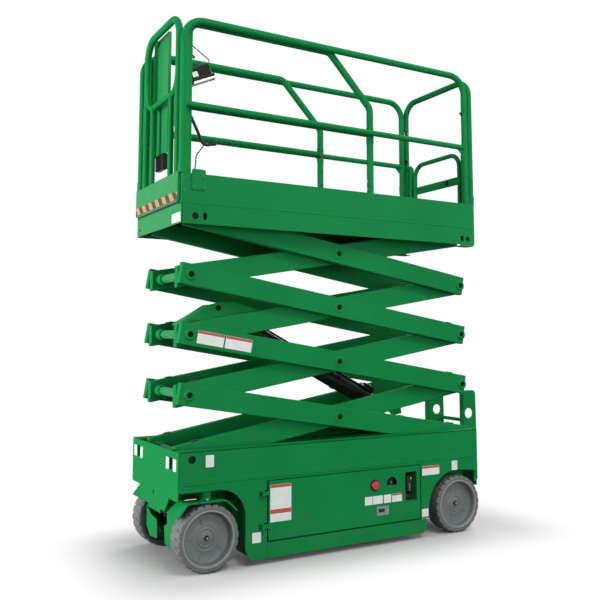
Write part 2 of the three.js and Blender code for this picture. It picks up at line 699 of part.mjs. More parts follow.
// The front frame: an arch, a bar that dips between its posts, and two short posts below it.
function frontFrame() {
  const { x, post, top, bar, inner } = FRONT_FRAME;
  const arch = pipe([[x, -post, extensionTop], [x, -post, top], [x, post, top],
    [x, post, extensionTop]], 22.5, 125);
  const dip = pipe([[x, -post + 10, 3010], [x, -262, bar], [x, 262, bar],
    [x, post - 10, 3010]], 18, 110, { arcSteps: 4 });
  const short = rod([x, inner, extensionTop], [x, inner, bar], 18, 10);
  return union(arch, dip, onBothSides(short));
}

addNode("extension_front_frame", "green", frontFrame());

// A folded sheet behind the front frame, with a closed box hung under it.
const PANEL = { front: 1083, back: 1054, far: -200, near: -35, low: 2510, high: 3270 };

function panel() {
  const { front, back, far, near, low, high } = PANEL;
  return union(block(back, front, far, far + 3, low, high),
    block(back, back + 3, far, near, low, high),
    block(back - 17, back + 3, near - 3, near, low, high),
    block(1040, 1078, -196, -52, 2408, 2512));
}

addNode("extension_panel", "green", panel());
addNode("control_box", "black", block(905, 1030, 180, 296, 2900, 3010));

// ---------------------------------------------------------------- cables

// From the control box down behind the front frame to the extension's deck.
addNode("harness", "black", pipe([[985, 240, 2900 - GAP], [985, 240, 2820], [1062, 215, 2740],
  [1072, 205, 2600], [1072, 205, extensionTop]], 8, 40, { sides: 8 }));
// A loop that hangs from the middle rail.
addNode("cable_loop", "black", pipe([[1045, 300, 2697], [1000, 300, 2560], [915, 300, 2476],
  [850, 300, 2540], [850, 300, 2697]], 7, 45, { sides: 8 }));

export default machine;
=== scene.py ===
# %% [markdown]
# # A scissor lift, dressed for the camera
#
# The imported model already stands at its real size: a narrow chassis on four solid tyres, four
# pairs of crossed arms and a railed platform. This notebook gives each of its parts a finished
# surface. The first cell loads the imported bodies, so that every new piece can ride on the body
# that it belongs to and keeps its place when the lift rises or steers.

import math

import bmesh
import bpy
import numpy as np
from mathutils import Matrix, Vector


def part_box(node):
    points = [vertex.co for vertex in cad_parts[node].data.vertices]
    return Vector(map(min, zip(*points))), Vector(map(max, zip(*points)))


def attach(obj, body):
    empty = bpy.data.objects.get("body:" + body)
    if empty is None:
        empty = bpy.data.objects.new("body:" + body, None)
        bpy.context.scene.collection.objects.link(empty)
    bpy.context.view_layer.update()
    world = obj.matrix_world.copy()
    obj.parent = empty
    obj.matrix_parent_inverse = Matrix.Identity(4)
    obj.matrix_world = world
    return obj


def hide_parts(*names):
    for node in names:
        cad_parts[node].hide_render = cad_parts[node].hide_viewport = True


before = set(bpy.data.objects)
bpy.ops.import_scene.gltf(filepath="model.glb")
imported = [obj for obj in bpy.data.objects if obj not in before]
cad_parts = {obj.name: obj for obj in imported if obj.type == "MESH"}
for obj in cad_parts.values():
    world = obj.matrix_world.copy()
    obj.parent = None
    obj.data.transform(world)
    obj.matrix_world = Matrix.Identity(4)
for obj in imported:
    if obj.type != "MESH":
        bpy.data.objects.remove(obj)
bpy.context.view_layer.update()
MM = 0.001
HALF = 1117  # half length of the chassis in millimetres
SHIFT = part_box("front_plate")[1].x / MM - HALF  # from the chassis' own X = 0 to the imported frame's

# %% [markdown]
# ## Where the viewer stands
#
# A machine this tall looks right from a few metres away at about chest height, a little in front
# of its left side. The camera is level apart from a small tilt up. The lens shift slides the
# picture without bending the upright posts, which tilting further would do.

# %% Camera
scene = bpy.context.scene
camera_data = bpy.data.cameras.new("camera")
camera_data.lens, camera_data.sensor_width = 46.17, 36.0
camera_data.shift_y = -0.072
camera = bpy.data.objects.new("camera", camera_data)
camera.location = (2.82785, 4.5750, 1.3462)
camera.rotation_euler = (math.radians(95.829), 0.0, math.radians(149.963))
scene.collection.objects.link(camera)
scene.camera = camera
print("camera", [round(v, 3) for v in camera.location])

# %% [markdown]
# ## Wiring nodes
#
# The world, the floor and every finish are small networks of nodes. `Wires` keeps their code
# short: it makes a node, and gives each socket a number, a colour or another node.

# %% A small wiring kit
class Wires:
    """The nodes and links of one material or world."""

    def __init__(self, owner, clear=False):
        owner.use_nodes = True
        self.tree = owner.node_tree
        if clear:
            self.tree.nodes.clear()

    def put(self, node, sockets):
        for key, given in sockets.items():
            if isinstance(given, bpy.types.Node):
                given = given.outputs[0]
            if isinstance(given, bpy.types.NodeSocket):
                self.tree.links.new(given, node.inputs[key])
            else:
                node.inputs[key].default_value = given
        return node

    def node(self, kind, settings=None, **sockets):
        made = self.tree.nodes.new("ShaderNode" + kind)
        for key, given in (settings or {}).items():
            setattr(made, key, given)
        return self.put(made, {k.replace("_", " "): v for k, v in sockets.items()})

    def maths(self, operation, a, b, kind="Math"):
        return self.put(self.node(kind, {"operation": operation}), {0: a, 1: b})

    def mix(self, share, a, b):
        """One shader that gives way to another."""
        return self.put(self.node("MixShader"), {0: share, 1: a, 2: b})

    def white_to_camera(self):
        """A value of 1 for rays from the camera, from glossy faces and through glass, else 0."""
        paths = self.node("LightPath")
        seen = paths.outputs["Is Camera Ray"]
        for ray in ("Is Glossy Ray", "Is Transmission Ray"):
            seen = self.maths("MAXIMUM", seen, paths.outputs[ray])
        return seen


# %% [markdown]
# ## Studio light
#
# Painted steel is drawn by what it reflects, so big soft lamps suit it better than small hard
# ones. The main lamp stands in front of the machine, where it lights the faces that look
# forward. Two weaker ones light the long side, one level with the machine and one high, and
# three more fill in from the rear corner, from above and from behind, so that every side can be
# looked at. The world is white to the camera and to mirror-like surfaces, but it gives the paint
# only part of that as light, so that undersides stay dark.

# %% Lamps and world
scene.view_settings.view_transform = "Standard"
LAMPS = (  # name, place, target, width, height, watts
    ("front_lamp", (8.0, -0.5, 1.6), (0.3, 0, 1.4), 3.0, 3.0, 700),
    ("side_lamp", (0.5, 7.5, 1.6), (0, 0, 1.3), 4.0, 3.0, 190),
    ("high_side_lamp", (0.5, 5.5, 7.5), (0, 0, 1.2), 4.0, 3.0, 270),
    ("rear_side_lamp", (-5.0, 6.0, 4.0), (0, 0, 1.2), 4.0, 3.0, 110),
    ("top_lamp", (-5.0, 0.0, 9.0), (0, 0, 0), 4.0, 4.0, 300),
    ("back_lamp", (-6.0, -5.0, 5.0), (0, 0, 1.6), 4.0, 4.0, 270))

for name, place, target, width, height, watts in LAMPS:
    data = bpy.data.lights.new(name, "AREA")
    data.shape, data.size, data.size_y, data.energy = "RECTANGLE", width, height, watts
    lamp = bpy.data.objects.new(name, data)
    lamp.location = place
    lamp.rotation_euler = (Vector(target) - Vector(place)).to_track_quat("-Z", "Y").to_euler()
    lamp.visible_camera = False
    scene.collection.objects.link(lamp)

WHITE, AMBIENT = (1, 1, 1, 1), 0.36
scene.world = bpy.data.worlds.new("studio")
sky = Wires(scene.world, clear=True)
sky.node("OutputWorld", Surface=sky.mix(
    sky.white_to_camera(), sky.node("Background", Color=WHITE, Strength=AMBIENT),
    sky.node("Background", Color=WHITE, Strength=1.0)))
print(len(LAMPS), "lamps and a world at", AMBIENT)

# %% [markdown]
# ## The floor
#
# The floor is one large plane. Close round the machine it is grey paper that takes the shadow, and that
# grey is itself a painted shadow round the machine; within a stride it fades to pure white, so that no
# horizon shows. The painted shadow and its fade follow the machine's long footprint, not a circle.
# Other rays see a darker floor, because a bright one would light the machine from below.

# %% Floor
FLOOR_HALF = 40.0
FOOTPRINT = (1.15, 0.38, 0.0)  # half length and half width of the machine on the ground
PAINTED_SHADOW_FADE = (0.06, 0.62)  # distances from the footprint where the painted shadow starts to fade and where it is gone

floor_paper = bpy.data.materials.new("floor_paper")
wires = Wires(floor_paper, clear=True)
away = wires.node("TexCoord").outputs["Object"]
for operation, by in (("ABSOLUTE", (0, 0, 0)), ("SUBTRACT", FOOTPRINT), ("MAXIMUM", (0, 0, 0))):
    away = wires.maths(operation, away, by, "VectorMath")
reach = wires.node("VectorMath", {"operation": "LENGTH"}, Vector=away).outputs["Value"]
fade = wires.node("MapRange", {"interpolation_type": "SMOOTHSTEP"},
                  Value=reach, From_Min=PAINTED_SHADOW_FADE[0], From_Max=PAINTED_SHADOW_FADE[1])
# grey paper near the machine: a painted shadow, on top of the real shadow that it takes
paper, dark = (wires.node("BsdfDiffuse", Color=(v, v, v, 1)) for v in (0.60, 0.04))
wires.node("OutputMaterial", Surface=wires.mix(
    wires.white_to_camera(), dark, wires.mix(fade, paper, wires.node("Emission"))))

floor_mesh = bpy.data.meshes.new("floor")
floor_mesh.from_pydata([(x * FLOOR_HALF, y * FLOOR_HALF, 0.0)
                        for x, y in ((-1, -1), (1, -1), (1, 1), (-1, 1))], [], [(0, 1, 2, 3)])
floor_mesh.materials.append(floor_paper)
floor = bpy.data.objects.new("floor", floor_mesh)
scene.collection.objects.link(floor)
print("floor fades out", PAINTED_SHADOW_FADE[1], "m from the machine")

# %% [markdown]
# ## Finishes
#
# A finish starts from the plain shader and adds what makes that surface look made: paint has a
# faint orange-peel skin, a slow ripple where the sheet is thin, a little drift in its colour and
# some dust low down.

# %% What a finish is made from
class Finish(Wires):
    """One material: a plain shader, with noises, ramps, blends and bumps to wire into it."""

    def __init__(self, name, colour, roughness, **sockets):
        self.material = bpy.data.materials.new(name)
        super().__init__(self.material)
        self.shader = self.tree.nodes["Principled BSDF"]
        self.material.diffuse_color = (*colour, 1)
        self.put(self.shader, {"Base Color": (*colour, 1), "Roughness": roughness, **sockets})
        self.place = self.node("TexCoord").outputs["Object"]

    def noise(self, scale, detail):
        return self.node("TexNoise", Vector=self.place, Scale=scale, Detail=detail)

    def ramp(self, value, low, high, to=(0.0, 1.0)):
        return self.node("MapRange", Value=value, From_Min=low, From_Max=high,
                         To_Min=to[0], To_Max=to[1])

    def blend(self, share, a, b):
        a, b = ((*c, 1) if isinstance(c, tuple) else c for c in (a, b))
        made = self.node("Mix", {"data_type": "RGBA"})
        return self.put(made, {"Factor": share, 6: a, 7: b}).outputs[2]

    def bump(self, height, distance, strength, **under):
        return self.node("Bump", Height=height, Distance=distance, Strength=strength, **under)

    def axis(self, name):
        return self.node("SeparateXYZ", Vector=self.place).outputs[name]


def tint(colour, gain):
    return tuple(min(c * gain, 1.0) for c in colour)


# %% [markdown]
# ### Green paint
#
# Sheet and box steel on such a machine is powder-coated: baked powder flows into a skin with
# tiny dimples, semi-gloss rather than shiny. Two bumps make it, a fine one for the skin and a
# broad faint one for the ripple of the sheet. The colour drifts slightly, and dust dulls the
# paint near the ground.

# %% Green paint
GREEN, DUST = (0.0052, 0.205, 0.051), (0.060, 0.130, 0.072)


def green_paint(name, gain=1.0, coat=0.12):
    colour = tint(GREEN, gain)
    finish = Finish(name, colour, 0.42, **{"Specular IOR Level": 0.0, "Coat Weight": coat})
    drift = finish.ramp(finish.noise(2.3, 4.0), 0.32, 0.68)
    body = finish.blend(drift, tint(colour, 0.93), tint(colour, 1.07))
    fine = finish.ramp(finish.noise(34.0, 5.0), 0.60, 0.80, (0.0, 0.16))
    body = finish.blend(fine, body, tint(colour, 1.35))
    low = finish.ramp(finish.axis("Z"), 0.42, 0.02)
    dust = finish.maths("MULTIPLY", low, finish.ramp(finish.noise(9.0, 6.0), 0.42, 0.72, (0, 0.30)))
    rough = finish.ramp(finish.noise(15.0, 4.0), 0.30, 0.70, (0.38, 0.50))
    skin = finish.bump(finish.noise(520.0, 2.0), 0.00022, 0.35)
    ripple = finish.bump(finish.noise(3.1, 1.0), 0.0035, 0.22, Normal=skin)
    finish.put(finish.shader, {"Base Color": finish.blend(dust, body, DUST), "Roughness": rough,
                               "Normal": ripple, "Coat Roughness": rough, "Coat Normal": ripple})
    return finish.material


PAINT = green_paint("green_powder_coat")
GREEN_WITH_PAINTED_SHEEN = green_paint("green_coat_painted_sheen", 1.05, 0.6)  # a brighter, glossier copy of the paint for faces that look towards the light: painted sheen

# %% [markdown]
# ### The other finishes
#
# Black paint and moulded plastic differ mostly in gloss. Zinc-plated bolts are pale and grainy.
# Solid rubber is dull, with scuffs that run round the tread. The dished wheel discs are a flat
# grey paint. Labels are thin white film with a slightly uneven gloss.

# %% Black, steel and plastic
def speckled(name, colour, roughness, spread, grain, depth, shine=None, metal=None):
    """A finish whose colour and gloss vary a little, over a fine bump."""
    given = {"Specular IOR Level": shine, "Metallic": metal}
    finish = Finish(name, colour, roughness, **{k: v for k, v in given.items() if v is not None})
    cloud = finish.ramp(finish.noise(grain * 0.12, 4.0), 0.3, 0.7)
    body = finish.blend(cloud, tint(colour, 1 - spread), tint(colour, 1 + spread))
    rough = finish.ramp(finish.noise(grain * 0.4, 3.0), 0.3, 0.7, (roughness - 0.06, roughness + 0.08))
    skin = finish.bump(finish.noise(grain, 2.0), depth, 0.5)
    finish.put(finish.shader, {"Base Color": body, "Roughness": rough, "Normal": skin})
    return finish.material


BLACK_PAINT = speckled("black_enamel", (0.006, 0.0075, 0.006), 0.34, 0.25, 300, 0.0002, shine=0.15)
BLACK_PLASTIC = speckled("black_plastic", (0.014, 0.015, 0.015), 0.52, 0.2, 900, 0.0002, shine=0.2)
HOSE = speckled("hose_rubber", (0.012, 0.012, 0.013), 0.6, 0.3, 700, 0.0003, shine=0.2)
# near black: grease on the pins, and painted shade where pin ends and discs fill holes
GREASE_AND_PAINTED_SHADE = speckled("greased_pin_and_painted_hole_shade", (0.004, 0.007, 0.004), 0.5, 0.3, 120, 0.0005, shine=0.08)
ZINC = speckled("zinc_plate", (0.56, 0.57, 0.55), 0.34, 0.12, 260, 0.0001, metal=0.85)
STEEL = speckled("machined_steel", (0.44, 0.45, 0.46), 0.28, 0.10, 420, 0.0001, metal=1.0)
BRASS = speckled("brass_fitting", (0.62, 0.42, 0.24), 0.3, 0.1, 300, 0.0001, metal=0.8)
FLOOR_PLATE = speckled("floor_plate", (0.30, 0.31, 0.31), 0.5, 0.14, 120, 0.0004, metal=0.5)
LABEL = speckled("label_film", (0.70, 0.73, 0.70), 0.42, 0.05, 160, 0.00005)
HEADER = speckled("label_header", (0.42, 0.055, 0.045), 0.42, 0.08, 160, 0.00005)
STOP_RED = speckled("stop_button_red", (0.50, 0.018, 0.028), 0.33, 0.08, 260, 0.0001)
RUBBER = speckled("solid_rubber", (0.112, 0.119, 0.115), 0.72, 0.14, 260, 0.0010)
DISC = speckled("disc_grey", (0.112, 0.130, 0.127), 0.5, 0.06, 380, 0.0003)
RIM = speckled("rim_grey", (0.200, 0.225, 0.220), 0.46, 0.07, 300, 0.0003)
CASE = speckled("battery_case", (0.035, 0.042, 0.050), 0.5, 0.15, 420, 0.0003)
print(len(bpy.data.materials), "materials")

# %% [markdown]
# ## Making solids
#
# Almost everything here is bent sheet, tube or turned bar. A few small makers cover that:
# `slab` cuts a plate to an outline and rounds its edges, `pipe` sweeps a tube along corners,
# `turned` spins a profile, `brick` is a block with softened edges, and `strip` is a bent plate.
# Each returns points in millimetres and faces, and `Piece` gathers them into one object.
# A plate's edge is never knife-sharp, and that small radius is what catches the light.

# %% Outlines
NEARLY_STRAIGHT = math.radians(165)  # a corner this open stays as it is


def arc(centre, radius, start, end, steps=10):
    """Points along an arc, with its angles in degrees."""
    angles = [math.radians(start + (end - start) * i / steps) for i in range(steps + 1)]
    return [(centre[0] + radius * math.cos(a), centre[1] + radius * math.sin(a)) for a in angles]


def circle(x, y, radius, steps=28):
    return arc((x, y), radius, 0, 360 * (1 - 1 / steps), steps - 1)


def box_outline(x0, x1, y0, y1, corner=0.0):
    """A rectangle, with round corners if asked."""
    if corner <= 0:
        return [(x0, y0), (x1, y0), (x1, y1), (x0, y1)]
    c = corner
    return (arc((x1 - c, y0 + c), c, -90, 0, 4) + arc((x1 - c, y1 - c), c, 0, 90, 4)
            + arc((x0 + c, y1 - c), c, 90, 180, 4) + arc((x0 + c, y0 + c), c, 180, 270, 4))


def soften(outline, corner, steps=3):
    """The outline with each of its corners rounded to a radius."""
    out = []
    for i, here in enumerate(outline):
        here = Vector((*here, 0))
        before = Vector((*outline[i - 1], 0)) - here
        after = Vector((*outline[(i + 1) % len(outline)], 0)) - here
        opening = before.angle(after)
        if opening > NEARLY_STRAIGHT:
            out.append((here.x, here.y))
            continue
        back = min(corner / math.tan(opening / 2), before.length * 0.45, after.length * 0.45)
        a, b = here + before.normalized() * back, here + after.normalized() * back
        for t in np.linspace(0, 1, steps + 1):
            out.append(tuple((a * (1 - t) ** 2 + here * 2 * t * (1 - t) + b * t * t).xy))
    return out


# %% Plates, blocks and bent strips
AXES = {"x": (2, 0, 1), "y": (0, 2, 1), "z": (0, 1, 2)}  # which of (u, v, w) is X, Y and Z


def taken(work):
    """The points and faces of a work mesh, which is then let go."""
    work.verts.index_update()
    points = np.array([v.co for v in work.verts], float)
    faces = [[v.index for v in f.verts] for f in work.faces]
    work.free()
    return points, faces


def slab(outline, low, high, axis="y", holes=(), edge=1.2, rounds=1):
    """A plate from low to high along an axis, cut to an outline with holes, its edges rounded."""
    edge = min(edge, (high - low) * 0.45)
    curve = bpy.data.curves.new("outline", "CURVE")
    curve.dimensions, curve.fill_mode = "2D", "BOTH"
    curve.extrude = (high - low) / 2 - edge
    curve.bevel_depth, curve.bevel_resolution, curve.offset = edge, rounds, -edge
    for ring in (outline, *holes):
        line = curve.splines.new("POLY")
        line.points.add(len(ring) - 1)
        line.points.foreach_set("co", [c for u, v in ring for c in (u, v, 0.0, 1.0)])
        line.use_cyclic_u = True
    carrier = bpy.data.objects.new("outline", curve)
    mesh = bpy.data.meshes.new_from_object(carrier)
    work = bmesh.new()
    work.from_mesh(mesh)
    bmesh.ops.remove_doubles(work, verts=work.verts, dist=0.02)
    bmesh.ops.dissolve_degenerate(work, edges=work.edges, dist=0.01)
    bpy.data.meshes.remove(mesh)
    bpy.data.objects.remove(carrier)
    bpy.data.curves.remove(curve)
    points, faces = taken(work)
    return (points + (0, 0, (low + high) / 2))[:, AXES[axis]], faces


def brick(x0, x1, y0, y1, z0, z1, edge=1.5, rounds=2):
    """A block with softened edges."""
    work = bmesh.new()
    size = Vector((abs(x1 - x0), abs(y1 - y0), abs(z1 - z0)))
    bmesh.ops.create_cube(work, size=1.0)
    bmesh.ops.scale(work, vec=size, verts=work.verts)
    bmesh.ops.bevel(work, geom=list(work.edges), offset=min(edge, min(size) * 0.4),
                    segments=rounds, affect="EDGES", profile=0.5)
    points, faces = taken(work)
    return points + ((x0 + x1) / 2, (y0 + y1) / 2, (z0 + z1) / 2), faces


def lofted(rings, closed=False):
    """Skin over rings with as many points each: flat ends, or the last joined to the first."""
    count = len(rings[0])
    faces = []
    for i in range(len(rings) - (not closed)):
        a, b = i * count, (i + 1) % len(rings) * count
        faces += [[a + k, a + (k + 1) % count, b + (k + 1) % count, b + k] for k in range(count)]
    if not closed:
        last = (len(rings) - 1) * count
        faces += [list(range(count))[::-1], [last + k for k in range(count)]]
    return np.concatenate([np.asarray(r, float) for r in rings]), faces


def strip(stations, thickness):
    """A bent plate: stations of (x, z, y near, y far) along its middle line."""
    edge, rings = 1.5, []
    for i, (x, z, near, far) in enumerate(stations):
        a, b = stations[max(i - 1, 0)], stations[min(i + 1, len(stations) - 1)]
        run = Vector((b[0] - a[0], 0, b[1] - a[1])).normalized()
        side = Vector((-run.z, 0, run.x)) * thickness / 2
        outline = ((1, near + edge), (0.5, near), (-0.5, near), (-1, near + edge),
                   (-1, far - edge), (-0.5, far), (0.5, far), (1, far - edge))
        rings.append([tuple(Vector((x, y, z)) + side * share) for share, y in outline])
    return lofted(rings)


# %% Tubes
def bent(corners, bend, steps=8):
    """The line through corners, with an arc of one radius at each inner corner."""
    corners = [Vector(c) for c in corners]
    line = [corners[0]]
    for before, here, after in zip(corners, corners[1:], corners[2:]):
        arrive, leave = (here - before).normalized(), (after - here).normalized()
        turn = arrive.angle(leave)
        if turn < 1e-3:
            continue
        room = min((here - before).length, (after - here).length)
        back = min(bend * math.tan(turn / 2), room * 0.499)
        radius = back / math.tan(turn / 2)
        inward = (leave - arrive * leave.dot(arrive)).normalized()
        start = here - arrive * back
        line += [start + arrive * radius * math.sin(turn * k / steps)
                 + inward * radius * (1 - math.cos(turn * k / steps)) for k in range(steps + 1)]
    return line + [corners[-1]]


def swept(line, section, closed=False):
    """A section, as points across the line, carried along it without twisting."""
    line = [Vector(p) for p in line]
    runs = [(b - a).normalized() for a, b in zip(line, line[1:])]
    if closed:
        runs.append((line[0] - line[-1]).normalized())
    up = Vector((0, 0, 1)) if abs(runs[0].z) < 0.9 else Vector((1, 0, 0))
    side = runs[0].cross(up).normalized()
    rings = []
    for i, point in enumerate(line):
        before = runs[i - 1] if (i or closed) else runs[0]
        along = (before + runs[min(i, len(runs) - 1)]).normalized()
        side = (side - along * side.dot(along)).normalized()
        over = along.cross(side)
        rings.append([tuple(point + side * u + over * v) for u, v in section])
    return lofted(rings, closed)


def pipe(corners, radius, bend=0.0, sides=20, steps=8):
    return swept(bent(corners, bend, steps), circle(0, 0, radius, sides))


# %% Turned parts
ACROSS, UP, FORWARD, REARWARD = (0, 1, 0), (0, 0, 1), (1, 0, 0), (-1, 0, 0)


def turned(profile, place=(0, 0, 0), toward=ACROSS, sides=32):
    """A profile of (radius, along) spun about a line through place."""
    turn = Vector((0, 0, 1)).rotation_difference(Vector(toward).normalized()).to_matrix()
    points, faces, rings = [], [], []
    for radius, along in profile:
        count = sides if radius > 1e-6 else 1
        rings.append(range(len(points), len(points) + count))
        points += [(radius * math.cos(2 * math.pi * k / sides),
                    radius * math.sin(2 * math.pi * k / sides), along) for k in range(count)]
    pairs = list(zip(rings, rings[1:]))
    if profile[0][0] > 1e-6:
        pairs.append((rings[-1], rings[0]))
    for a, b in pairs:
        for k in range(sides):
            j = (k + 1) % sides
            if len(a) == 1 and len(b) > 1:
                faces.append([a[0], b[j], b[k]])
            elif len(b) == 1 and len(a) > 1:
                faces.append([a[k], a[j], b[0]])
            elif len(a) > 1:
                faces.append([a[k], a[j], b[j], b[k]])
    return np.asarray(points, float) @ np.array(turn).T + np.asarray(place, float), faces


def solid(profile, place, toward=ACROSS, sides=32):
    """A turned part without a bore: its flat ends close at the middle line."""
    return turned([(0, profile[0][1]), *profile, (0, profile[-1][1])], place, toward, sides)


def bar(start, end, radius, sides=24, edge=1.5):
    """A round bar between two points, with softened ends."""
    length = (Vector(end) - Vector(start)).length
    edge = min(edge, radius * 0.5, length * 0.3)
    return solid([(radius - edge, 0), (radius, edge), (radius, length - edge), (radius - edge, length)],
                 start, Vector(end) - Vector(start), sides)


def across(x, z, near, far, radius):
    """A round bar that runs across the machine."""
    return bar((x, near, z), (x, far, z), radius)


def upright(x, y, low, high, radius):
    return bar((x, y, low), (x, y, high), radius)


def ring(place, inner, outer, height, edge=1.5):
    """A raised ring round a hole in a side face."""
    return turned([(inner, 0), (outer, 0), (outer, height - edge), (outer - edge, height),
                   (inner + edge, height), (inner, height - edge)], place, sides=36)


def bolt(place, toward, size=8.0):
    """A hexagon head on a washer."""
    head, height = size * 0.95, size * 0.62
    start = Vector(place) + Vector(toward).normalized() * 1.6
    return [solid([(size * 1.25, 0), (size * 1.25, 1.2), (size * 1.15, 1.8)], place, toward, 20),
            solid([(head, 0), (head, height * 0.8), (head * 0.82, height)], start, toward, 6)]


# %% Pieces
made = []
ONCE, BOTH = (1,), (1, -1)  # a part as drawn, or with its mirror image too
SIDES = (("left", 1), ("right", -1))
CREASE = math.radians(38)  # faces that meet at more than this keep a hard edge


def moved(shell, matrix):
    points, faces = shell
    turn = np.array(matrix)
    return points @ turn[:3, :3].T + turn[:3, 3], faces


class Piece:
    """Gathers closed shells, in chassis millimetres, into one object on one body."""

    def __init__(self, name, body, slot, replaces=(), paint=PAINT, sides=ONCE):
        self.name, self.body, self.slot, self.replaces = name, body, slot, replaces
        self.paint, self.sides, self.matrix = paint, sides, Matrix()
        self.points, self.faces, self.marks, self.finishes = [], [], [], []
        self.count = 0

    def add(self, shells, material=None, sides=None):
        """Adds a shell or a list of them, once for each side: 1 as drawn, -1 as its mirror image."""
        material = material or self.paint
        if material not in self.finishes:
            self.finishes.append(material)
        mark = self.finishes.index(material)
        for points, faces in [shells] if isinstance(shells, tuple) else shells:
            for side in sides or self.sides:
                self.points.append(moved((points * (1, side, 1), faces), self.matrix)[0])
                self.faces += [[k + self.count for k in f] for f in faces]
                self.marks += [mark] * len(faces)
                self.count += len(points)

    def label(self, x0, x1, z0, z1, face, header=0.0, axis="y", sides=None):
        """A bare label: thin white film, and a red band along its top if it has one."""
        self.add(slab(box_outline(x0, x1, z0, z1, 3), face, face + 0.6, axis, edge=0.2, rounds=0),
                 LABEL, sides)
        if header:
            self.add(slab(box_outline(x0 + 1, x1 - 1, z1 - header, z1 - 1, 2), face + 0.4, face + 0.9,
                          axis, edge=0.2, rounds=0), HEADER, sides)

    def done(self):
        points = (np.concatenate(self.points) + (SHIFT, 0, 0)) * MM
        mesh = bpy.data.meshes.new(self.name)
        mesh.from_pydata(points.tolist(), [], self.faces)
        for material in self.finishes:
            mesh.materials.append(material)
        mesh.polygons.foreach_set("material_index", self.marks)
        work = bmesh.new()
        work.from_mesh(mesh)
        bmesh.ops.recalc_face_normals(work, faces=work.faces)
        work.to_mesh(mesh)
        work.free()
        mesh.shade_smooth()
        mesh.set_sharp_from_angle(angle=CREASE)
        thing = bpy.data.objects.new(self.name, mesh)
        scene.collection.objects.link(thing)
        thing.modifiers.new("even_normals", "WEIGHTED_NORMAL").keep_sharp = True
        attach(thing, self.body)
        if self.replaces:
            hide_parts(*self.replaces)
        made.append(thing)
        print(f"{self.name}: {len(mesh.polygons)} faces")


# %% [markdown]
# ## The chassis' side panels
#
# Each side is one long plate, flame-cut with an arch over both wheels and an opening for the door
# between them. A shallow rib pressed along it stiffens the plate, and a flange folded inwards
# closes the top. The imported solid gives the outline; here the edges get their small radius, the
# rib gets its soft shoulders, and the hinge gets real barrels.

# %% Chassis sizes
SIDE, TOP = 405, 686  # outer side faces, top
FRONT_CUT = 1110.7  # the side panels stop just behind the front panel
WHEEL = {"front": 924, "rear": -934.6, "radius": 190.5}
HINGE = {"x": 582, "y": 414, "heights": (219, 409.5)}
LIFT_HOLE = (1033.5, 641.5)
STEEL_EDGE = 2.0  # radius that blasting and powder leave on a plate's edge


def side_outline():
    outline = [(FRONT_CUT, TOP), (-HALF, TOP), (-HALF, 345), (-1080, 326), (-1092, 405)]
    outline += arc((-925, 175), 249, 90, -10.2, 22)
    outline += [(-610, 131), (-610, 484), (551, 484)]
    for z in HINGE["heights"][::-1]:  # a notch round each hinge tongue
        notch = ((551, 19), (597, 19), (601, 12), (601, -12), (597, -19), (551, -19))
        outline += [(x, z + dz) for x, dz in notch]
    outline += [(551, 34), (667, 34), (694, 100)]
    outline += arc((860, 292), 166, 180, 90, 14) + [(FRONT_CUT, 458)]
    return soften(outline, 7)


def hinge_barrel(low, high):
    return upright(HINGE["x"], HINGE["y"], low, high, 9)


# %% Side panels
SIDE_LABELS = (  # x from, x to, z from, z to, height of the red band
    (899, 950, 593, 661, 0), (592, 650, 132, 192, 0), (-931, -881, 422, 485, 0),
    (-670, -614, 139, 190, 0), (-770, -623, 408, 468, 15))

for side, sign in SIDES:
    panel = Piece(f"{side}_side_panel", "chassis", "green_paint", (f"side_plate_{side}",),
                  sides=(sign,))
    panel.add([slab(side_outline(), SIDE - 10, SIDE, holes=[circle(*LIFT_HOLE, 22)], edge=STEEL_EDGE),
               brick(-1062, 1084, SIDE - 3, SIDE + 2.6, 499, 526.5, edge=2.4, rounds=3),
               brick(-HALF, FRONT_CUT, 320.3, SIDE, TOP - 6, TOP, edge=STEEL_EDGE)])
    for z in HINGE["heights"]:
        for low, high in ((z - 21, z - 13), (z + 13, z + 21)):
            panel.add([hinge_barrel(low, high),
                       brick(HINGE["x"], 606, SIDE - 1, HINGE["y"] - 2, low, high, edge=1)])
    for x0, x1, z0, z1, header in SIDE_LABELS:
        panel.label(x0, x1, z0, z1, SIDE, header)
    # a near-black disc behind the lifting hole: painted shade in the hole
    panel.add(solid([(19, 0), (19, 3)], (LIFT_HOLE[0], SIDE - 12, LIFT_HOLE[1])), GREASE_AND_PAINTED_SHADE)
    panel.add(brick(676, 682, 215, 392, 66, 440), BLACK_PLASTIC)  # a black plate behind the wheel: painted shade in the arch
    panel.done()

# %% [markdown]
# ## The front panel
#
# The front plate is stepped so that the steered wheels can turn under it. Its two upright slots
# take tie-down straps, with a bare pale plate on each side of them, and the round hole is for the
# towing pin.

# %% Front panel
SLOT = (266, 306, 580, 646)  # y from, y to, z from, z to
half_front = [(405, 424), (401, 416), (393, 412), (263, 412), (263, 404), (193, 326)]
front_outline = ([(405, 424), (405, TOP), (-405, TOP)] + [(-y, z) for y, z in half_front]
                 + half_front[:0:-1])
slots = [soften(box_outline(s * SLOT[0], s * SLOT[1], *SLOT[2:])[::s], 4) for s in BOTH]
front = Piece("front_panel", "chassis", "green_paint", ("front_plate",))
front.add(slab(soften(front_outline, 5), HALF - 6, HALF, "x", slots + [circle(0, 405, 12, 24)],
               edge=STEEL_EDGE))
for near, far in ((210, 254), (322, 372)):
    front.label(near, far, 576, 644, HALF, axis="x", sides=BOTH)
front.done()

# %% [markdown]
# ### What stays as packed
#
# The well, the bulkheads, the belly pan and the rear axle's box are plain welded plate, so their
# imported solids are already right. They only need paint. A few bolts and a covered inlet at the
# back are added as one small piece of their own.

# %% Inner chassis
for name in ("chassis_frame", "rear_axle_box", "front_beam"):
    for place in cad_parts[name].material_slots:
        place.material = PAINT

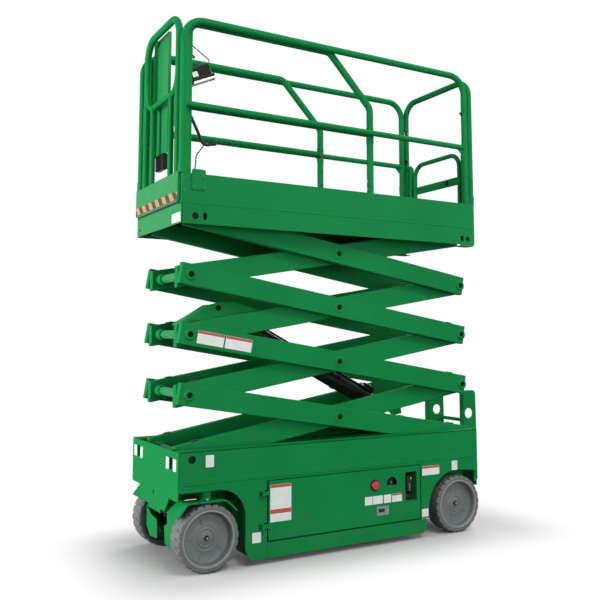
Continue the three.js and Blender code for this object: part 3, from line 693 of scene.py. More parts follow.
fittings = Piece("rear_plate_fittings", "chassis", "black_paint")
fittings.add([brick(-1125, -1116.8, 236, 316, 452, 520, edge=4),
              brick(-1128, -1124, 244, 308, 460, 512, edge=2)], BLACK_PLASTIC)
for y in (-350, -260, 260, 350):
    for z in (340, 420):
        fittings.add(bolt((-HALF, y, z), REARWARD), ZINC)
fittings.done()

# %% [markdown]
# ## The ladder
#
# Two stiles cut from plate carry three rungs. The big round holes are hand holds. A rung is a
# tube with raised rings, so that a boot doesn't slip.

# %% Ladder
LADDER = {"y": 181, "rear": -1321, "front": -1164, "top": 940}
LUG_FACE = -HALF - 0.3  # the ladder's plates stop just clear of the chassis

stile = [(LUG_FACE, 300), (LUG_FACE, 480), (LADDER["front"], 540), (LADDER["front"], LADDER["top"])]
stile += arc((-1285, 910), 30, 90, 180, 8) + [(LADDER["rear"], 324), (-1297, 300)]
ladder = Piece("rear_ladder", "chassis", "green_paint", ("ladder",))
hand_hold = circle(-1247, 773, 36.5, 40)
ladder.add([slab(stile, LADDER["y"] - 4, LADDER["y"] + 4, holes=[hand_hold], edge=1.8),
            brick(-1168, LADDER["front"], LADDER["y"], 222, 545, 928)], sides=BOTH)
ladder.add(brick(-HALF - 8, LUG_FACE, -LADDER["y"], LADDER["y"], 300, 480))
rung = [(12, 0)]
for along in range(12, 362, 22):  # a raised ring in every 22 mm
    rung += [(12, along), (13.6, along + 2), (13.6, along + 8), (12, along + 10)]
for z in (330, 520, 710):
    ladder.add(solid(rung + [(12, 362)], (-1292, -LADDER["y"], z), sides=20))
for y in (-140, 140):
    for z in (325, 450):
        ladder.add(bolt((-HALF - 8, y, z), REARWARD), ZINC)
ladder.done()

# %% [markdown]
# ## Ground guards
#
# Below each door hangs a long plate that drops when the platform rises, so that a wheel can't fall
# far into a pothole. It turns on a row of barrels along its top edge.

# %% Guards
guard_outline = soften([(550.4, 34), (550.4, 124), (-655, 124), (-655, 78), (-646, 52), (-618, 34)], 6)
for side, sign in SIDES:
    guard = Piece(f"{side}_ground_guard", f"guard_{side}", "green_paint", (f"guard_{side}",),
                  sides=(sign,))
    guard.add(slab(guard_outline, SIDE - 8, SIDE, edge=STEEL_EDGE))
    for x in (-520, -55, 410):
        guard.add([bar((x + a, 393, 112), (x + b, 393, 112), 7) for a, b in ((-60, -13), (13, 60))])
    guard.done()

# %% [markdown]
# ## Doors and their controls
#
# Both doors swing out with a shelf: the hydraulic unit stands on the left one, the batteries on
# the right one. The left door carries the ground controls: a stop button, a key switch in a round
# well, a socket plate and a latch in a deep pocket. Pockets are made as a frame plus a back
# plate, because a real pressed cup has walls too.

# %% Door leaf, pocket and latch
STOP, KEY = (-233, 382), (-370, 383)
LATCH = (-573, -480, 253, 442)  # x from, x to, z from, z to
POCKET = 62  # depth
TONGUE = [(535, -14), (560, -12), (590, -12), (595, -8), (595, 8), (590, 12), (560, 12), (535, 14)]


def pocket(x0, x1, z0, z1, depth, wall=3.0):
    """A box pressed into a door, open towards the outside."""
    inner = soften(box_outline(x0, x1, z0, z1), 5)
    outer = box_outline(x0 - wall, x1 + wall, z0 - wall, z1 + wall)
    return [slab(outer, SIDE - depth, SIDE - 1.5, holes=[inner], edge=0.6),
            slab(outer, SIDE - depth - 3, SIDE - depth + 0.5, edge=0.6)]


def door_leaf(holes=()):
    """The door's plate and shelf, its hinge tongues, and the latch's pocket."""
    outline = soften(box_outline(-604, 542, 134, 480), 5)
    shelf = [(540, 60), (540, 400), (-598, 400), (-545, 60)]
    shells = [slab(outline, SIDE - 8, SIDE, holes=[*holes, soften(box_outline(*LATCH), 5)], edge=1.6),
              slab(shelf, 136, 142, "z")]
    for z in HINGE["heights"]:
        tongue = soften([(x, z + dz) for x, dz in TONGUE], 4)
        shells += [slab(tongue, SIDE - 1, SIDE + 3),
                   brick(562, 580, SIDE, 418, z - 12, z + 12, edge=2), hinge_barrel(z - 12, z + 12)]
    return shells + pocket(*LATCH, POCKET)


def add_latch(door):
    """The pocket's contents: a dark back, a paddle, its grey edge and the rod that it pulls."""
    x0, x1, z0, z1 = LATCH
    back = SIDE - POCKET
    door.add(brick(x0 + 1, x1 - 1, back - 0.5, back + 3, z0 + 1, z1 - 1, edge=1), BLACK_PAINT)
    door.add(brick(x0 + 12, x0 + 58, SIDE - 52, SIDE - 30, z0 + 60, z1 - 30, edge=4), BLACK_PLASTIC)
    door.add([brick(x0 + 40, x0 + 46, SIDE - 40, SIDE - 18, z0 + 62, z1 - 80, edge=2),
              across(x0 + 30, z1 - 48, SIDE - 31, SIDE - 20, 8)], RIM)
    door.add(brick(x0 + 20, x0 + 76, SIDE - 44, SIDE - 34, z0 + 14, z0 + 40, edge=3), BLACK_PLASTIC)


# %% Left door and its controls
door = Piece("left_door", "tray_left", "green_paint", ("tray_left",))
door.add(door_leaf([circle(*KEY, 40, 36)]))
key_x, key_z = KEY  # the switch stands in a round well, with a lip across the well's lower part
door.add(solid([(43, 0), (43, 35), (40, 35), (40, 3)], (key_x, SIDE - 37, key_z)), BLACK_PLASTIC)
door.add(slab(arc(KEY, 39.5, 200, 340, 14), SIDE - 14, SIDE - 3, edge=1.0))
add_latch(door)
button = (STOP[0], SIDE - 1, STOP[1])  # a mushroom head inside a raised ring
door.add(ring(button, 27.5, 38, 5, edge=1.6), BLACK_PLASTIC)
door.add(turned([(0, 0), (12, 0), (12, 6), (27, 7.5), (28, 10), (26.5, 13), (20, 14.6), (0, 15.2)],
                button, sides=40), STOP_RED)
door.add(across(key_x, key_z + 4, SIDE - 34, SIDE - 22, 13), BLACK_PLASTIC)
door.add(brick(key_x - 2.5, key_x + 2.5, SIDE - 24, SIDE - 4, key_z - 4, key_z + 12), RIM)
for dx, lamp in ((18, BRASS), (-18, STOP_RED)):
    door.add(across(key_x + dx, key_z + 16, SIDE - 33, SIDE - 27, 4), lamp)
door.add(slab(box_outline(-340, -245, 188, 246, 4), SIDE, SIDE + 2, edge=0.7), RIM)  # socket plate
door.add(slab(box_outline(-307, -256, 208, 230, 3), SIDE + 1.5, SIDE + 4, edge=0.8), BLACK_PLASTIC)
for x in (-332, -253):
    door.add(bolt((x, SIDE + 2, 217), ACROSS, 3.0), ZINC)
for x0, x1, header in ((-212, -153, 0), (-294, -215, 0), (-361, -303, 0), (-449, -368, 11)):
    door.label(x0, x1, 262, 314, SIDE, header)
door.label(387, 531, 238, 456, SIDE, 19)
door.add(slab(box_outline(388, 530, 286, 311, 1), SIDE + 0.4, SIDE + 0.9, edge=0.2), HEADER)

# %% Hydraulic unit on the left door's shelf
door.add(brick(-40, 420, 100, 340, 146, 400, edge=10, rounds=3), BLACK_PAINT)
door.add(solid([(30, 0), (30, 14), (24, 18)], (330, 220, 400), UP), BLACK_PLASTIC)
door.add(solid([(58, 0), (62, 6), (62, 150), (56, 160), (30, 166)], (-60, 190, 280), REARWARD, 36),
         BLACK_PAINT)
door.add(brick(-66, -40, 130, 300, 220, 360, edge=4), STEEL)
door.add(brick(-410, -260, 120, 330, 150, 300, edge=8), BLACK_PLASTIC)
for k in range(4):
    y = 150 + 40 * k
    door.add(pipe([(-60, y, 340), (-110, y, 380 - 9 * k), (-200, y + 12, 392 - 9 * k),
                   (-300, y, 330), (-330, y, 298)], 9, 30, 12, 5), HOSE)
    door.add(solid([(12, 0), (12, 16)], (-64, y, 340), REARWARD, 6), BRASS)
door.done()

# %% Right door with its batteries
door = Piece("right_door", "tray_right", "green_paint", ("tray_right",), sides=(-1,))
door.add(door_leaf())
add_latch(door)
door.label(387, 531, 286, 456, SIDE, 19)
for k in range(4):  # four batteries in a row, with lids, lifting eyes, caps and their leads
    x0 = -464 + 224 * k
    door.add([brick(x0, x0 + 214, 84, 380, 144, 392, edge=7),
              brick(x0 - 2, x0 + 216, 82, 382, 392, 416, edge=5)], CASE)
    for y in (330, 134):
        door.add(solid([(11, 0), (11, 9), (8, 16)], (x0 + 40, y, 416), UP, 20), STEEL)
    for y in (312, 232, 152):
        door.add(solid([(17, 0), (17, 6), (13, 9)], (x0 + 150, y, 416), UP, 24), BLACK_PLASTIC)
    if k:
        door.add(pipe([(x0 - 184, 134, 428), (x0 - 140, 134, 436), (x0 - 60, 330, 436),
                       (x0 + 40, 330, 428)], 7, 40, 10, 5), HOSE)
door.done()

# %% [markdown]
# ## Steering knuckles and wheels
#
# A front wheel turns on a kingpin that stands in the chassis' front deck. Its knuckle is a plate
# with the drive motor's housing on it, and a bent plate over the tyre that keeps stones out of the
# arch. The two front wheels steer together.

# %% Knuckle sizes
KINGPIN_Y = 341.5
FENDER = [(746, 331.5, 250, 400), (790, 374, 254, 400), (806, 388, 256, 400), (824, 396, 256, 400),
          (1036, 396, 256, 400), (1050, 392, 254, 400), (1062, 381, 248, 400), (1112, 321, 217, 400)]
YOKE = soften([(838, 396), (838, 180), (880, 96), (968, 96), (1010, 180), (1010, 396)], 14, 5)
SHIELDS = {  # a plate ahead of the wheel, of another outline on each side
    1: [(268, 300), (235, 316), (121, 320), (94, 278), (101, 231), (50, 212), (68, 108), (145, 98),
        (200, 100), (268, 150)],
    -1: [(268, 285), (235, 256), (183, 231), (102, 226), (76, 214), (70, 109), (200, 100), (268, 150)]}
MOTOR = [(50, 0), (58, 8), (62, 14), (62, 60), (56, 66), (56, 84)]

# %% Knuckles
for side, sign in SIDES:
    knuckle = Piece(f"{side}_steer_knuckle", f"knuckle_{side}", "green_paint", (f"knuckle_{side}",),
                    sides=(sign,))
    x, z = WHEEL["front"], WHEEL["radius"]
    knuckle.add([strip(FENDER, 10), slab(YOKE, 256, 268, edge=2.5),
                 slab(soften(SHIELDS[sign], 12, 4), 1056, 1064, "x", edge=1.8),
                 brick(1000, 1060, 256, 266, 150, 284, edge=2), upright(x, KINGPIN_Y, 396, 404, 34),
                 slab([(866, 268), (982, 268), (952, 330), (896, 330)], 380, 392, "z", edge=2)])
    knuckle.add(upright(x, KINGPIN_Y, 396, 472, 19), STEEL)
    knuckle.add(solid([(9, 0), (9, 5), (6, 8)], (x, KINGPIN_Y + 30, 404), UP, 20), ZINC)
    knuckle.add(brick(978, 1052, 336, 346, 405, 413, edge=3), BRASS)
    knuckle.add(solid(MOTOR, (x, 176, z), sides=40), BLACK_PAINT)
    knuckle.add(across(x, z, 250, 345, 20), STEEL)
    for a in np.radians(range(30, 360, 60)):
        knuckle.add(bolt((x + 46 * math.cos(a), 268, z + 46 * math.sin(a)), ACROSS, 7), ZINC)
    for dx, dz in ((-26, 40), (26, 40), (0, -44)):
        knuckle.add(pipe([(x + dx, 178, z + dz), (x + dx, 150, z + dz), (x + dx - 60, 140, z + dz + 70),
                          (x - 110, 190, 330)], 8, 24, 12, 5), HOSE)
    knuckle.done()

# %% [markdown]
# ### Solid tyres
#
# The tyres are solid grey rubber that leaves no marks on a floor. Short grooves cut the shoulders
# into lugs, staggered between the inner and the outer edge, and a smooth band runs round the
# middle. The wheel is built as rings of points: at a groove the shoulder's points simply sit
# deeper. That gives sharp groove walls with few faces.

# %% Tyre
LUGS, GROOVE = 24, 6.5  # how many in a turn, and how deep a groove is
TREAD = ((152, 282), (156, 278.3), (168, 277.2), (178, 277.6), (186, 281), (189.6, 286), (190.5, 292),
         (190.5, 314), (190.5, 318), (190.5, 365), (190.5, 369), (190.5, 391), (189.6, 397), (186, 402),
         (178, 405), (168, 405.6), (156, 405), (152, 401))  # radius and y of each point across
INNER_SHOULDER, OUTER_SHOULDER = range(4, 8), range(10, 14)  # which of those points a groove moves
COLUMNS = ((0.0, ()), (0.7, INNER_SHOULDER), (3.6, INNER_SHOULDER), (4.3, ()), (7.5, ()),
           (8.2, OUTER_SHOULDER), (11.1, OUTER_SHOULDER), (11.8, ()))  # degrees into a lug's pitch


def tyre(x):
    rings = []
    for lug in range(LUGS):
        for degrees, sunk in COLUMNS:
            a = math.radians(lug * 360 / LUGS + degrees)
            row = [(radius - (GROOVE if i in sunk else 0), y) for i, (radius, y) in enumerate(TREAD)]
            rings.append([(x + r * math.sin(a), y, WHEEL["radius"] + r * math.cos(a)) for r, y in row])
    return lofted(rings, closed=True)


# %% [markdown]
# ### Wheel discs
#
# The disc is dished steel with a rolled lip whose paler grey is a painted highlight, a crease near its
# rim, a second ring round the hub and a dark nut in the middle, with four small pale dots on the nut's
# flanks that are painted highlights. Five shallow ribs run out from the hub.

# %% Discs and all four wheels
DISH = [(15, 369), (18, 367), (34, 366), (38, 363), (44, 362.5), (47, 365.5), (52, 365.5), (56, 362),
        (66, 361), (69, 363), (74, 363), (77, 361), (96, 359.5), (128, 361), (134, 364), (140, 372),
        (145, 386), (149, 399), (151.5, 401), (151.5, 300), (120, 294), (24, 290), (24, 346)]
LIP = [(148, 396), (150, 404), (153, 407), (158, 407.5), (161, 406), (161.5, 403.5), (156, 402),
       (152, 396)]

for axle in ("front", "rear"):
    for side, sign in SIDES:
        x, z, body = WHEEL[axle], WHEEL["radius"], f"wheel_{axle}_{side}"
        rubber = Piece(f"{axle}_{side}_solid_tyre", body, "tyre_rubber", (f"tyre_{axle}_{side}",),
                       RUBBER, (sign,))
        rubber.add(tyre(x))
        rubber.done()
        wheel = Piece(f"{axle}_{side}_wheel_disc", body, "wheel_disc", (f"disc_{axle}_{side}",),
                      DISC, (sign,))
        wheel.add(solid(DISH, (x, 0, z), sides=72))
        for degrees in range(18, 360, 72):
            run = Matrix.Translation((x, 0, z)) @ Matrix.Rotation(math.radians(degrees), 4, "Y")
            wheel.add(moved(brick(-3.5, 3.5, 356, 363.2, 80, 124, edge=1.6), run))
        # the lip is in the paler grey: a painted highlight round the rim
        wheel.add(turned(LIP, (x, 0, z), sides=96), RIM)
        wheel.add(solid([(16, 0), (16, 9), (13, 12)], (x, 366, z), sides=6), BLACK_PAINT)
        # four small pale dots on the nut's flanks: painted highlights
        for a in np.radians((45, 135, 225, 315)):
            wheel.add(solid([(3.4, 0), (3.4, 3), (2, 4.4)],
                            (x + 14 * math.cos(a), 368, z + 14 * math.sin(a)), sides=10), RIM)
        wheel.add(turned([(0, 0), (8, 0), (8, 5), (0, 6)], (x, 376, z), sides=20), RIM)
        wheel.done()

# %% [markdown]
# ## The crossed arms
#
# Four levels of arms raise the platform. Each level is an inner frame that climbs to the rear and
# an outer one that climbs to the front, crossed at a pin in the middle. A frame is two box beams
# joined by its pins and bars. Every frame is drawn once lying flat, with its front pin at the
# origin, and then turned to its angle about that pin, so that all eight share one recipe.

# %% Arm sizes
LENGTH, HALF_HEIGHT = 2123.2, 65  # of a beam: from pin to pin, and half of its height
MIDDLE = -LENGTH / 2
LEAD, TAIL, TAPER = 64, 30, 330  # a beam's ends beyond its pins, and how long a slim end tapers
SLIM_TOP = 34  # a slim end is thinned on top, to fold under the platform's floor
ARM_ANGLE = math.radians(9.62)
INNER, OUTER = (198, 248), (258, 308)  # near and far faces of the beams, from the centre line
FIRST_PIN = (1017.5, 642.2)
LEVELS = 4
RISE = LENGTH * math.sin(ARM_ANGLE)
PIN, BORE = 20, 18


def flat_frame(level, outer=False):
    """From a frame lying flat to where it stands."""
    height = FIRST_PIN[1] + (level if outer else level - 1) * RISE
    turn = Matrix.Rotation(-ARM_ANGLE if outer else ARM_ANGLE, 4, "Y")
    return Matrix.Translation((FIRST_PIN[0], 0, height)) @ turn


def beam(near, far, slim, bores, slant=0):
    """One box beam, capped at its ends; the front end is cut at a slant if asked."""
    half, end = HALF_HEIGHT, -LENGTH - TAIL
    front = [(LEAD + slant, -half), (LEAD - slant, half)]
    rear = [(end, half), (end, -half)]
    if slim == "front":
        front = [(36, -half), (36, SLIM_TOP), (0, SLIM_TOP), (-TAPER, half)]
    if slim == "rear":
        rear = [(-LENGTH + TAPER, half), (-LENGTH, SLIM_TOP), (end, SLIM_TOP), (end, -half)]
    return slab(soften(front + rear, 6), near, far, holes=[circle(x, 0, BORE) for x in bores],
                edge=5, rounds=2)


# %% [markdown]
# ### Pins, collars and pads
#
# A bead is welded round each pin's end on the outer beams. The pin stops short inside it, so a well
# shows, and the pin's end is near black, a painted shade that makes the well darker still. On the inner
# beams each pin turns in a thick collar, with a bar between the two collars in the brighter, glossier
# copy of the paint, a painted sheen. Small rubber pads on top of some beams are what the folded arms
# rest on. The bottom outer frame and the top inner one carry rollers at the rear, because those ends
# have to travel forward as the scissors open.

# %% Details of a frame
def bead(x, outer, high):
    """A welded ring round a pin's hole, rounded on its outside."""
    return turned([(BORE, -1), (outer, -1), (outer - 1, high * 0.45), (outer - 5, high * 0.9),
                   (outer - 9, high), (BORE + 2, high), (BORE, high - 2)], (x, OUTER[1], 0), sides=40)


def add_pad(piece, x0, x1, beam_faces):
    """A rubber pad on top of both beams."""
    near, far = beam_faces
    piece.add(brick(x0, x1, near + 4, far - 4, HALF_HEIGHT - 1, HALF_HEIGHT + 5.5, edge=2),
              BLACK_PLASTIC)


def add_rollers(piece):
    """A shaft at a frame's rear end, with a roller at each end of it that runs in a channel."""
    piece.add(across(-LENGTH, 0, -390, 390, PIN), STEEL, sides=ONCE)
    for y in (322, -390):
        piece.add(solid([(30, 0), (33, 4), (33, 64), (30, 68)], (-LENGTH, y, 0), sides=36),
                  BLACK_PLASTIC, sides=ONCE)


# %% [markdown]
# ### Inner frames
#
# The lift cylinder pushes between two of these. Its foot sits between two brackets under the
# first frame, and its rod between two taller ones on the third: a long gusset on the left and a
# short plate on the right.

# %% Inner frames
BARREL_PIN, ROD_PIN = (-1594.5, -74.6), (-322, 95.6)
BRACKET = (176, 191)
GUSSETS = {
    1: [(30, 40), (30, 66), (0, 78), (-89, 110), (-193, 151), (-280, 157), (-380, 140), (-545, 62),
        (-545, 20), (-60, 20), (-44, 40)],
    -1: [(-150, 20), (-150, 60), (-237, 92), (-296, 130), (-348, 130), (-470, 58), (-470, 20)]}
GUSSET_FOOT = {1: -60, -1: -150}  # where the plate under each bracket ends
GUSSET_HOLE = (-256, 122)
FLANGE = [(26, 62), (26, 68), (0, 80), (-89, 112), (-190, 153), (-192, 147), (-88, 105), (0, 73)]


def add_foot_brackets(inner):
    """A bracket on each side, with the collar that the cylinder's foot turns in."""
    x, z = BARREL_PIN
    inner.add([across(x, z, 44, INNER[0] + 4, 24), ring((x, 150, z), 23, 36, 36),
               brick(x - 42, x + 42, INNER[0] - 18, INNER[0] + 2, z - 38, -10, edge=4)])


def add_rod_brackets(inner):
    """The brackets for the rod's eye, each on a foot plate, and the flange beside the gusset."""
    x, z = ROD_PIN
    for side, outline in GUSSETS.items():
        holes = [circle(*GUSSET_HOLE, 18)] if side > 0 else []
        foot = box_outline(-470, GUSSET_FOOT[side], BRACKET[0], INNER[0] + 2)
        inner.add([slab(soften(outline, 22, 5), *BRACKET, holes=holes, edge=3),
                   slab(foot, 20, 38, "z", edge=2), across(x, z, 44, BRACKET[1] - 2, 24),
                   ring((x, BRACKET[0] - 30, z), 23, 34, 32)], sides=(side,))
    # a near-black disc behind the gusset's hole: painted shade in the hole
    x, z = GUSSET_HOLE
    inner.add(solid([(21, 0), (21, 8)], (x, BRACKET[0] - 4, z)), GREASE_AND_PAINTED_SHADE, sides=ONCE)
    # the flange is in the copy of the paint with painted sheen
    inner.add(slab(FLANGE, 104, BRACKET[1] - 1, edge=1.5), GREEN_WITH_PAINTED_SHEEN, sides=ONCE)


def inner_frame(level):
    top, name = level == LEVELS, f"arm{level}_inner"
    inner = Piece(f"inner_arms_{level}", name, "green_paint", (name,), sides=BOTH)
    inner.matrix = flat_frame(level)
    ends = [0] if top else [0, -LENGTH]
    inner.add(beam(*INNER, "rear" if top else None, ends, 12))
    for x in ends:
        inner.add(solid([(36, 0), (36, 66), (34, 70)], (x, INNER[0] + 2, 0), (0, -1, 0), 40))
        # the bar between the collars is in the copy of the paint with painted sheen
        inner.add(across(x, 0, 4 - INNER[0], INNER[0] - 4, 27), GREEN_WITH_PAINTED_SHEEN, sides=ONCE)
    # the middle pin is near black: grease, and painted shade where it shows in the hole
    inner.add(across(MIDDLE, 0, INNER[0] + 10, OUTER[1] - 6, PIN), GREASE_AND_PAINTED_SHADE)
    inner.add(ring((MIDDLE, INNER[1] - 1, 0), PIN, 34, 9))
    inner.add([ring((x, INNER[1] - 1, 0), BORE, 36, 8) for x in ends])
    if top:
        add_rollers(inner)
    else:
        add_pad(inner, -98, -58, INNER)
    if level == 1:
        add_foot_brackets(inner)
    if level == 3:
        add_rod_brackets(inner)
    inner.done()


# %% Outer frames, and all eight
def outer_frame(level):
    top, name = level == LEVELS, f"arm{level}_outer"
    outer = Piece(f"outer_arms_{level}", name, "green_paint", (name,), sides=BOTH)
    outer.matrix = flat_frame(level, outer=True)
    ends = ([] if top else [0]) + ([] if level == 1 else [-LENGTH])
    outer.add(beam(*OUTER, "front" if top else None, [MIDDLE, *ends]))
    outer.add([bead(MIDDLE, 38, 4.5)] + [bead(x, 36, 9) for x in ends])
    for x in ends:
        outer.add(across(x, 0, -OUTER[1] + 14, OUTER[1] - 14, PIN), STEEL, sides=ONCE)
        # each pin's sunken end is near black: painted shade in the well
        outer.add(solid([(PIN, 0), (PIN, 13), (PIN - 3, 16)], (x, OUTER[1] - 24, 0)), GREASE_AND_PAINTED_SHADE)
    if top:
        outer.add(across(0, 0, -352, 352, PIN), STEEL, sides=ONCE)
    else:
        add_pad(outer, -LENGTH + 94, -LENGTH + 132, OUTER)
    if level == 1:
        add_rollers(outer)
    if level == 2:  # two bare label plates on the left beam, each with a red band
        for x0, x1 in ((-222, -48), (-412, -232)):
            outer.label(x0, x1, -43, 34, OUTER[1], 18, sides=ONCE)
    outer.done()


for level in range(1, LEVELS + 1):
    inner_frame(level)
    outer_frame(level)

# %% [markdown]
# ## Lift cylinder
#
# A two-stage cylinder pushes the arms apart: the barrel's eye sits on the first inner frame and
# the rod's eye on the third. All of it is black but the polished rod. A black pipe runs along the
# barrel to its upper end, and a valve block with hose fittings sits near its foot.

# %% Cylinder
def in_frame(pin, level):
    return flat_frame(level) @ Vector((pin[0], 0, pin[1]))


foot, eye = in_frame(BARREL_PIN, 1), in_frame(ROD_PIN, 3)
reach = (eye - foot).length
slope = math.atan2(eye.z - foot.z, eye.x - foot.x)
along_cylinder = Matrix.Translation(foot) @ Matrix.Rotation(-slope, 4, "Y")
print("cylinder", round(reach, 1), "mm between pins, at", round(math.degrees(slope), 1), "degrees")


def tube(start, end, outer, inner):
    profile = [(inner, 0), (outer, 0), (outer, end - start), (inner, end - start)]
    return turned(profile, (start, 0, 0), FORWARD, 48)


barrel = Piece("cylinder_barrel_body", "lift_barrel", "black_paint", ("cylinder_barrel",), BLACK_PAINT)
barrel.matrix = along_cylinder
barrel.add([tube(64, 1190, 55, 50), tube(1150, 1192, 60, 49.5), tube(60, 96, 59, 48),
            solid([(46, 0), (54, 8), (54, 24)], (42, 0, 0), FORWARD, 48),
            solid([(44, -38), (46, -36), (46, 36), (44, 38)], (0, 0, 0), sides=48),
            brick(120, 210, -34, 34, 50, 92, edge=4),
            pipe([(205, 16, 62), (260, 16, 61), (1120, 16, 61), (1150, 16, 61), (1165, 16, 48)],
                 7, 12, 14, 5),
            pipe([(205, -20, 60), (280, -20, 59), (700, -20, 59), (730, -20, 50)], 6, 12, 12, 5)])
for x in (420, 800, 1080):
    barrel.add([tube(x, x + 14, 60, 54), brick(x, x + 14, 4, 28, 54, 72, edge=3)])
for y in (-20, 16):
    barrel.add(solid([(12, 0), (12, 18), (9, 20)], (206, y, 71), FORWARD, 6), ZINC)
barrel.add(solid([(13, 0), (13, 16)], (150, 0, 92), UP, 6), ZINC)
barrel.done()

stage = Piece("cylinder_stage_body", "lift_stage", "black_paint", ("cylinder_stage",), BLACK_PAINT)
stage.matrix = along_cylinder
stage.add([tube(152, 1290, 46.5, 37), tube(1262, 1292, 48.5, 36.5)])
stage.done()

rod = Piece("cylinder_rod_body", "lift_rod", "chrome_rod", ("cylinder_rod",), STEEL)
rod.matrix = along_cylinder
rod.add(solid([(33, 0), (34, 2), (34, reach - 278)], (238, 0, 0), FORWARD, 40))
rod.add([solid([(40, -36), (42, -34), (42, 34), (40, 36)], (reach, 0, 0), sides=48),
         solid([(38, 0), (38, 30)], (reach - 62, 0, 0), FORWARD, 40)], BLACK_PAINT)
rod.done()

# %% [markdown]
# ## The platform's body
#
# The platform is a long tray: deep side plates, a floor of raised-pattern plate between them, and a
# low cross plate at each end. Round and upright holes near the lower corners give access to the
# rollers. A bolted bracket plate at each front corner joins the side to the front post.

# %% Platform body
DECK = {"rear": -1141, "front": 1120, "side": 402, "low": 1996, "high": 2297}
LAST_PIN = FIRST_PIN[1] + LEVELS * RISE


def long_hole(x, z, radius, tall):
    return arc((x, z + tall), radius, 0, 180, 10) + arc((x, z - tall), radius, 180, 360, 10)


rear, face = DECK["rear"], DECK["side"]
side_holes = [circle(1033, 2044, 20), long_hole(972, 2045, 11, 11), long_hole(-1024, 2037, 13, 10),
              circle(-1075, 2036, 18)]
side_plate = soften(box_outline(rear, DECK["front"], DECK["low"], DECK["high"]), 5)
pin_plate = soften(box_outline(975, 1060, LAST_PIN - 38, 2114), 14)
corner_plate = soften(box_outline(971, 1061, 2197, 2323), 16, 5)
end_plate = soften(box_outline(-face, face, 2000, 2120), 6)

body = Piece("platform_body", "platform", "green_paint", ("platform_frame",), sides=BOTH)
body.add([slab(side_plate, 397, face, holes=side_holes, edge=1.6),
          brick(rear, -20, 320, 400, 2017, 2023, edge=1),
          brick(-1135, 1112, 398, 404, 2116, 2126, edge=2.6, rounds=3),
          brick(1090, DECK["front"], 352, 399, 2110, DECK["high"], edge=3),
          brick(rear + 3, -1067, 352, 399, 2112, DECK["high"], edge=3),
          brick(-1128, -1010, 330, 400, 1986, 1991, edge=1),
          brick(-1060, 1088, 372, 398, 2288, DECK["high"], edge=2),
          slab(pin_plate, 324, 350, holes=[circle(FIRST_PIN[0], LAST_PIN, 22)], edge=2)])
# the front end plate is in the copy of the paint with painted sheen
body.add(slab(end_plate, 1113.5, 1120, "x", [circle(378, 2038, 10, 20), circle(-350, 2041, 10, 20)],
              edge=1.6), GREEN_WITH_PAINTED_SHEEN, sides=ONCE)
body.add(brick(rear, rear + 24, -400, 400, 2116, 2150, edge=3), sides=ONCE)
# a black sheet under the whole floor: painted shade for the platform's underside
body.add(brick(rear + 6, 1113, -399, 399, 2111, 2117, edge=1), BLACK_PAINT, sides=ONCE)
# the lower strip is in the copy of the paint with painted sheen
body.add(brick(-1128, -1010, 396, 404, 1986, 1996), GREEN_WITH_PAINTED_SHEEN)
# near-black discs behind two of the side holes: painted shade in the holes
for x, z in ((-1075, 2036), (1033, 2044)):
    body.add(solid([(24, 0), (24, 3.5)], (x, 392.5, z)), GREASE_AND_PAINTED_SHADE)
# these bolts and those on the corner plate are in the copy of the paint with painted sheen
for z in (2244, 2192):
    body.add(bolt((-1131, face, z), ACROSS, 6), GREEN_WITH_PAINTED_SHEEN)
body.add(slab(corner_plate, face - 1, face + 5, edge=2))
for x, z in ((1049, 2278), (987, 2278), (1049, 2211.5), (986, 2212)):
    body.add(bolt((x, face + 5, z), ACROSS, 6.5), GREEN_WITH_PAINTED_SHEEN)
for x, z in ((1108, 2261.5), (1107, 2191)):
    body.add(bolt((x, face, z), ACROSS, 6.5), GREEN_WITH_PAINTED_SHEEN)
body.label(245, 387, 2010, 2065, 1120, axis="x", sides=ONCE)


# %% [markdown]
# ### Raised-pattern floor
#
# Floor plate carries rows of small lens-shaped bars, each turned against its neighbours, so that
# no boot slides either way. They are real bumps here, made in a loop and joined to the floor.

# %% Tread bars
PITCH = 62.0
LENS = ((-17, 0, 0), (0, -4, 0), (17, 0, 0), (0, 4, 0), (-9, 0, 1.6), (9, 0, 1.6))
LENS_FACES = ((0, 1, 4), (1, 5, 4), (1, 2, 5), (2, 3, 5), (3, 4, 5), (3, 0, 4), (0, 3, 2, 1))


def tread(x0, x1, half, top):
    """Lens-shaped bars in alternating directions over a rectangle."""
    points, faces = [], []
    for i in range(int((x1 - x0) // PITCH)):
        for j in range(int(2 * half // PITCH)):
            turn = math.radians(45 if (i + j) % 2 else -45)
            cx, cy = x0 + PITCH * (i + 0.75), PITCH * (j + 0.6) - half
            faces += [[len(points) + k for k in f] for f in LENS_FACES]
            points += [(cx + u * math.cos(turn) - v * math.sin(turn),
                        cy + u * math.sin(turn) + v * math.cos(turn), top + w - 0.3)
                       for u, v, w in LENS]
    return np.array(points), faces


body.add([brick(-1110, 1108, -396, 396, 2115, 2120, edge=1), tread(-1105, -310, 390, 2120)],
         FLOOR_PLATE, sides=ONCE)
body.done()

# %% [markdown]
# ## Guardrails
#
# The rails are round tube, bent rather than cut at their corners, with a straight middle rail
# welded in. They stand in sockets on the side plates, and the upper part folds down once its
# pins are out. That is where the sleeves, clamps and bolts come from.

# %% Main side rails
RAIL = {"y": 375, "front": 1110, "rear": -1090, "top": 3245, "middle": 2718}
TUBE = 22.5
FOOT = DECK["high"] + 0.3


def cuff(x, y, low, high, radius=TUBE, wall=3.5):
    """A short thicker sleeve over an upright tube."""
    return bar((x, y, low), (x, y, high), radius + wall, 28, edge=2.0)


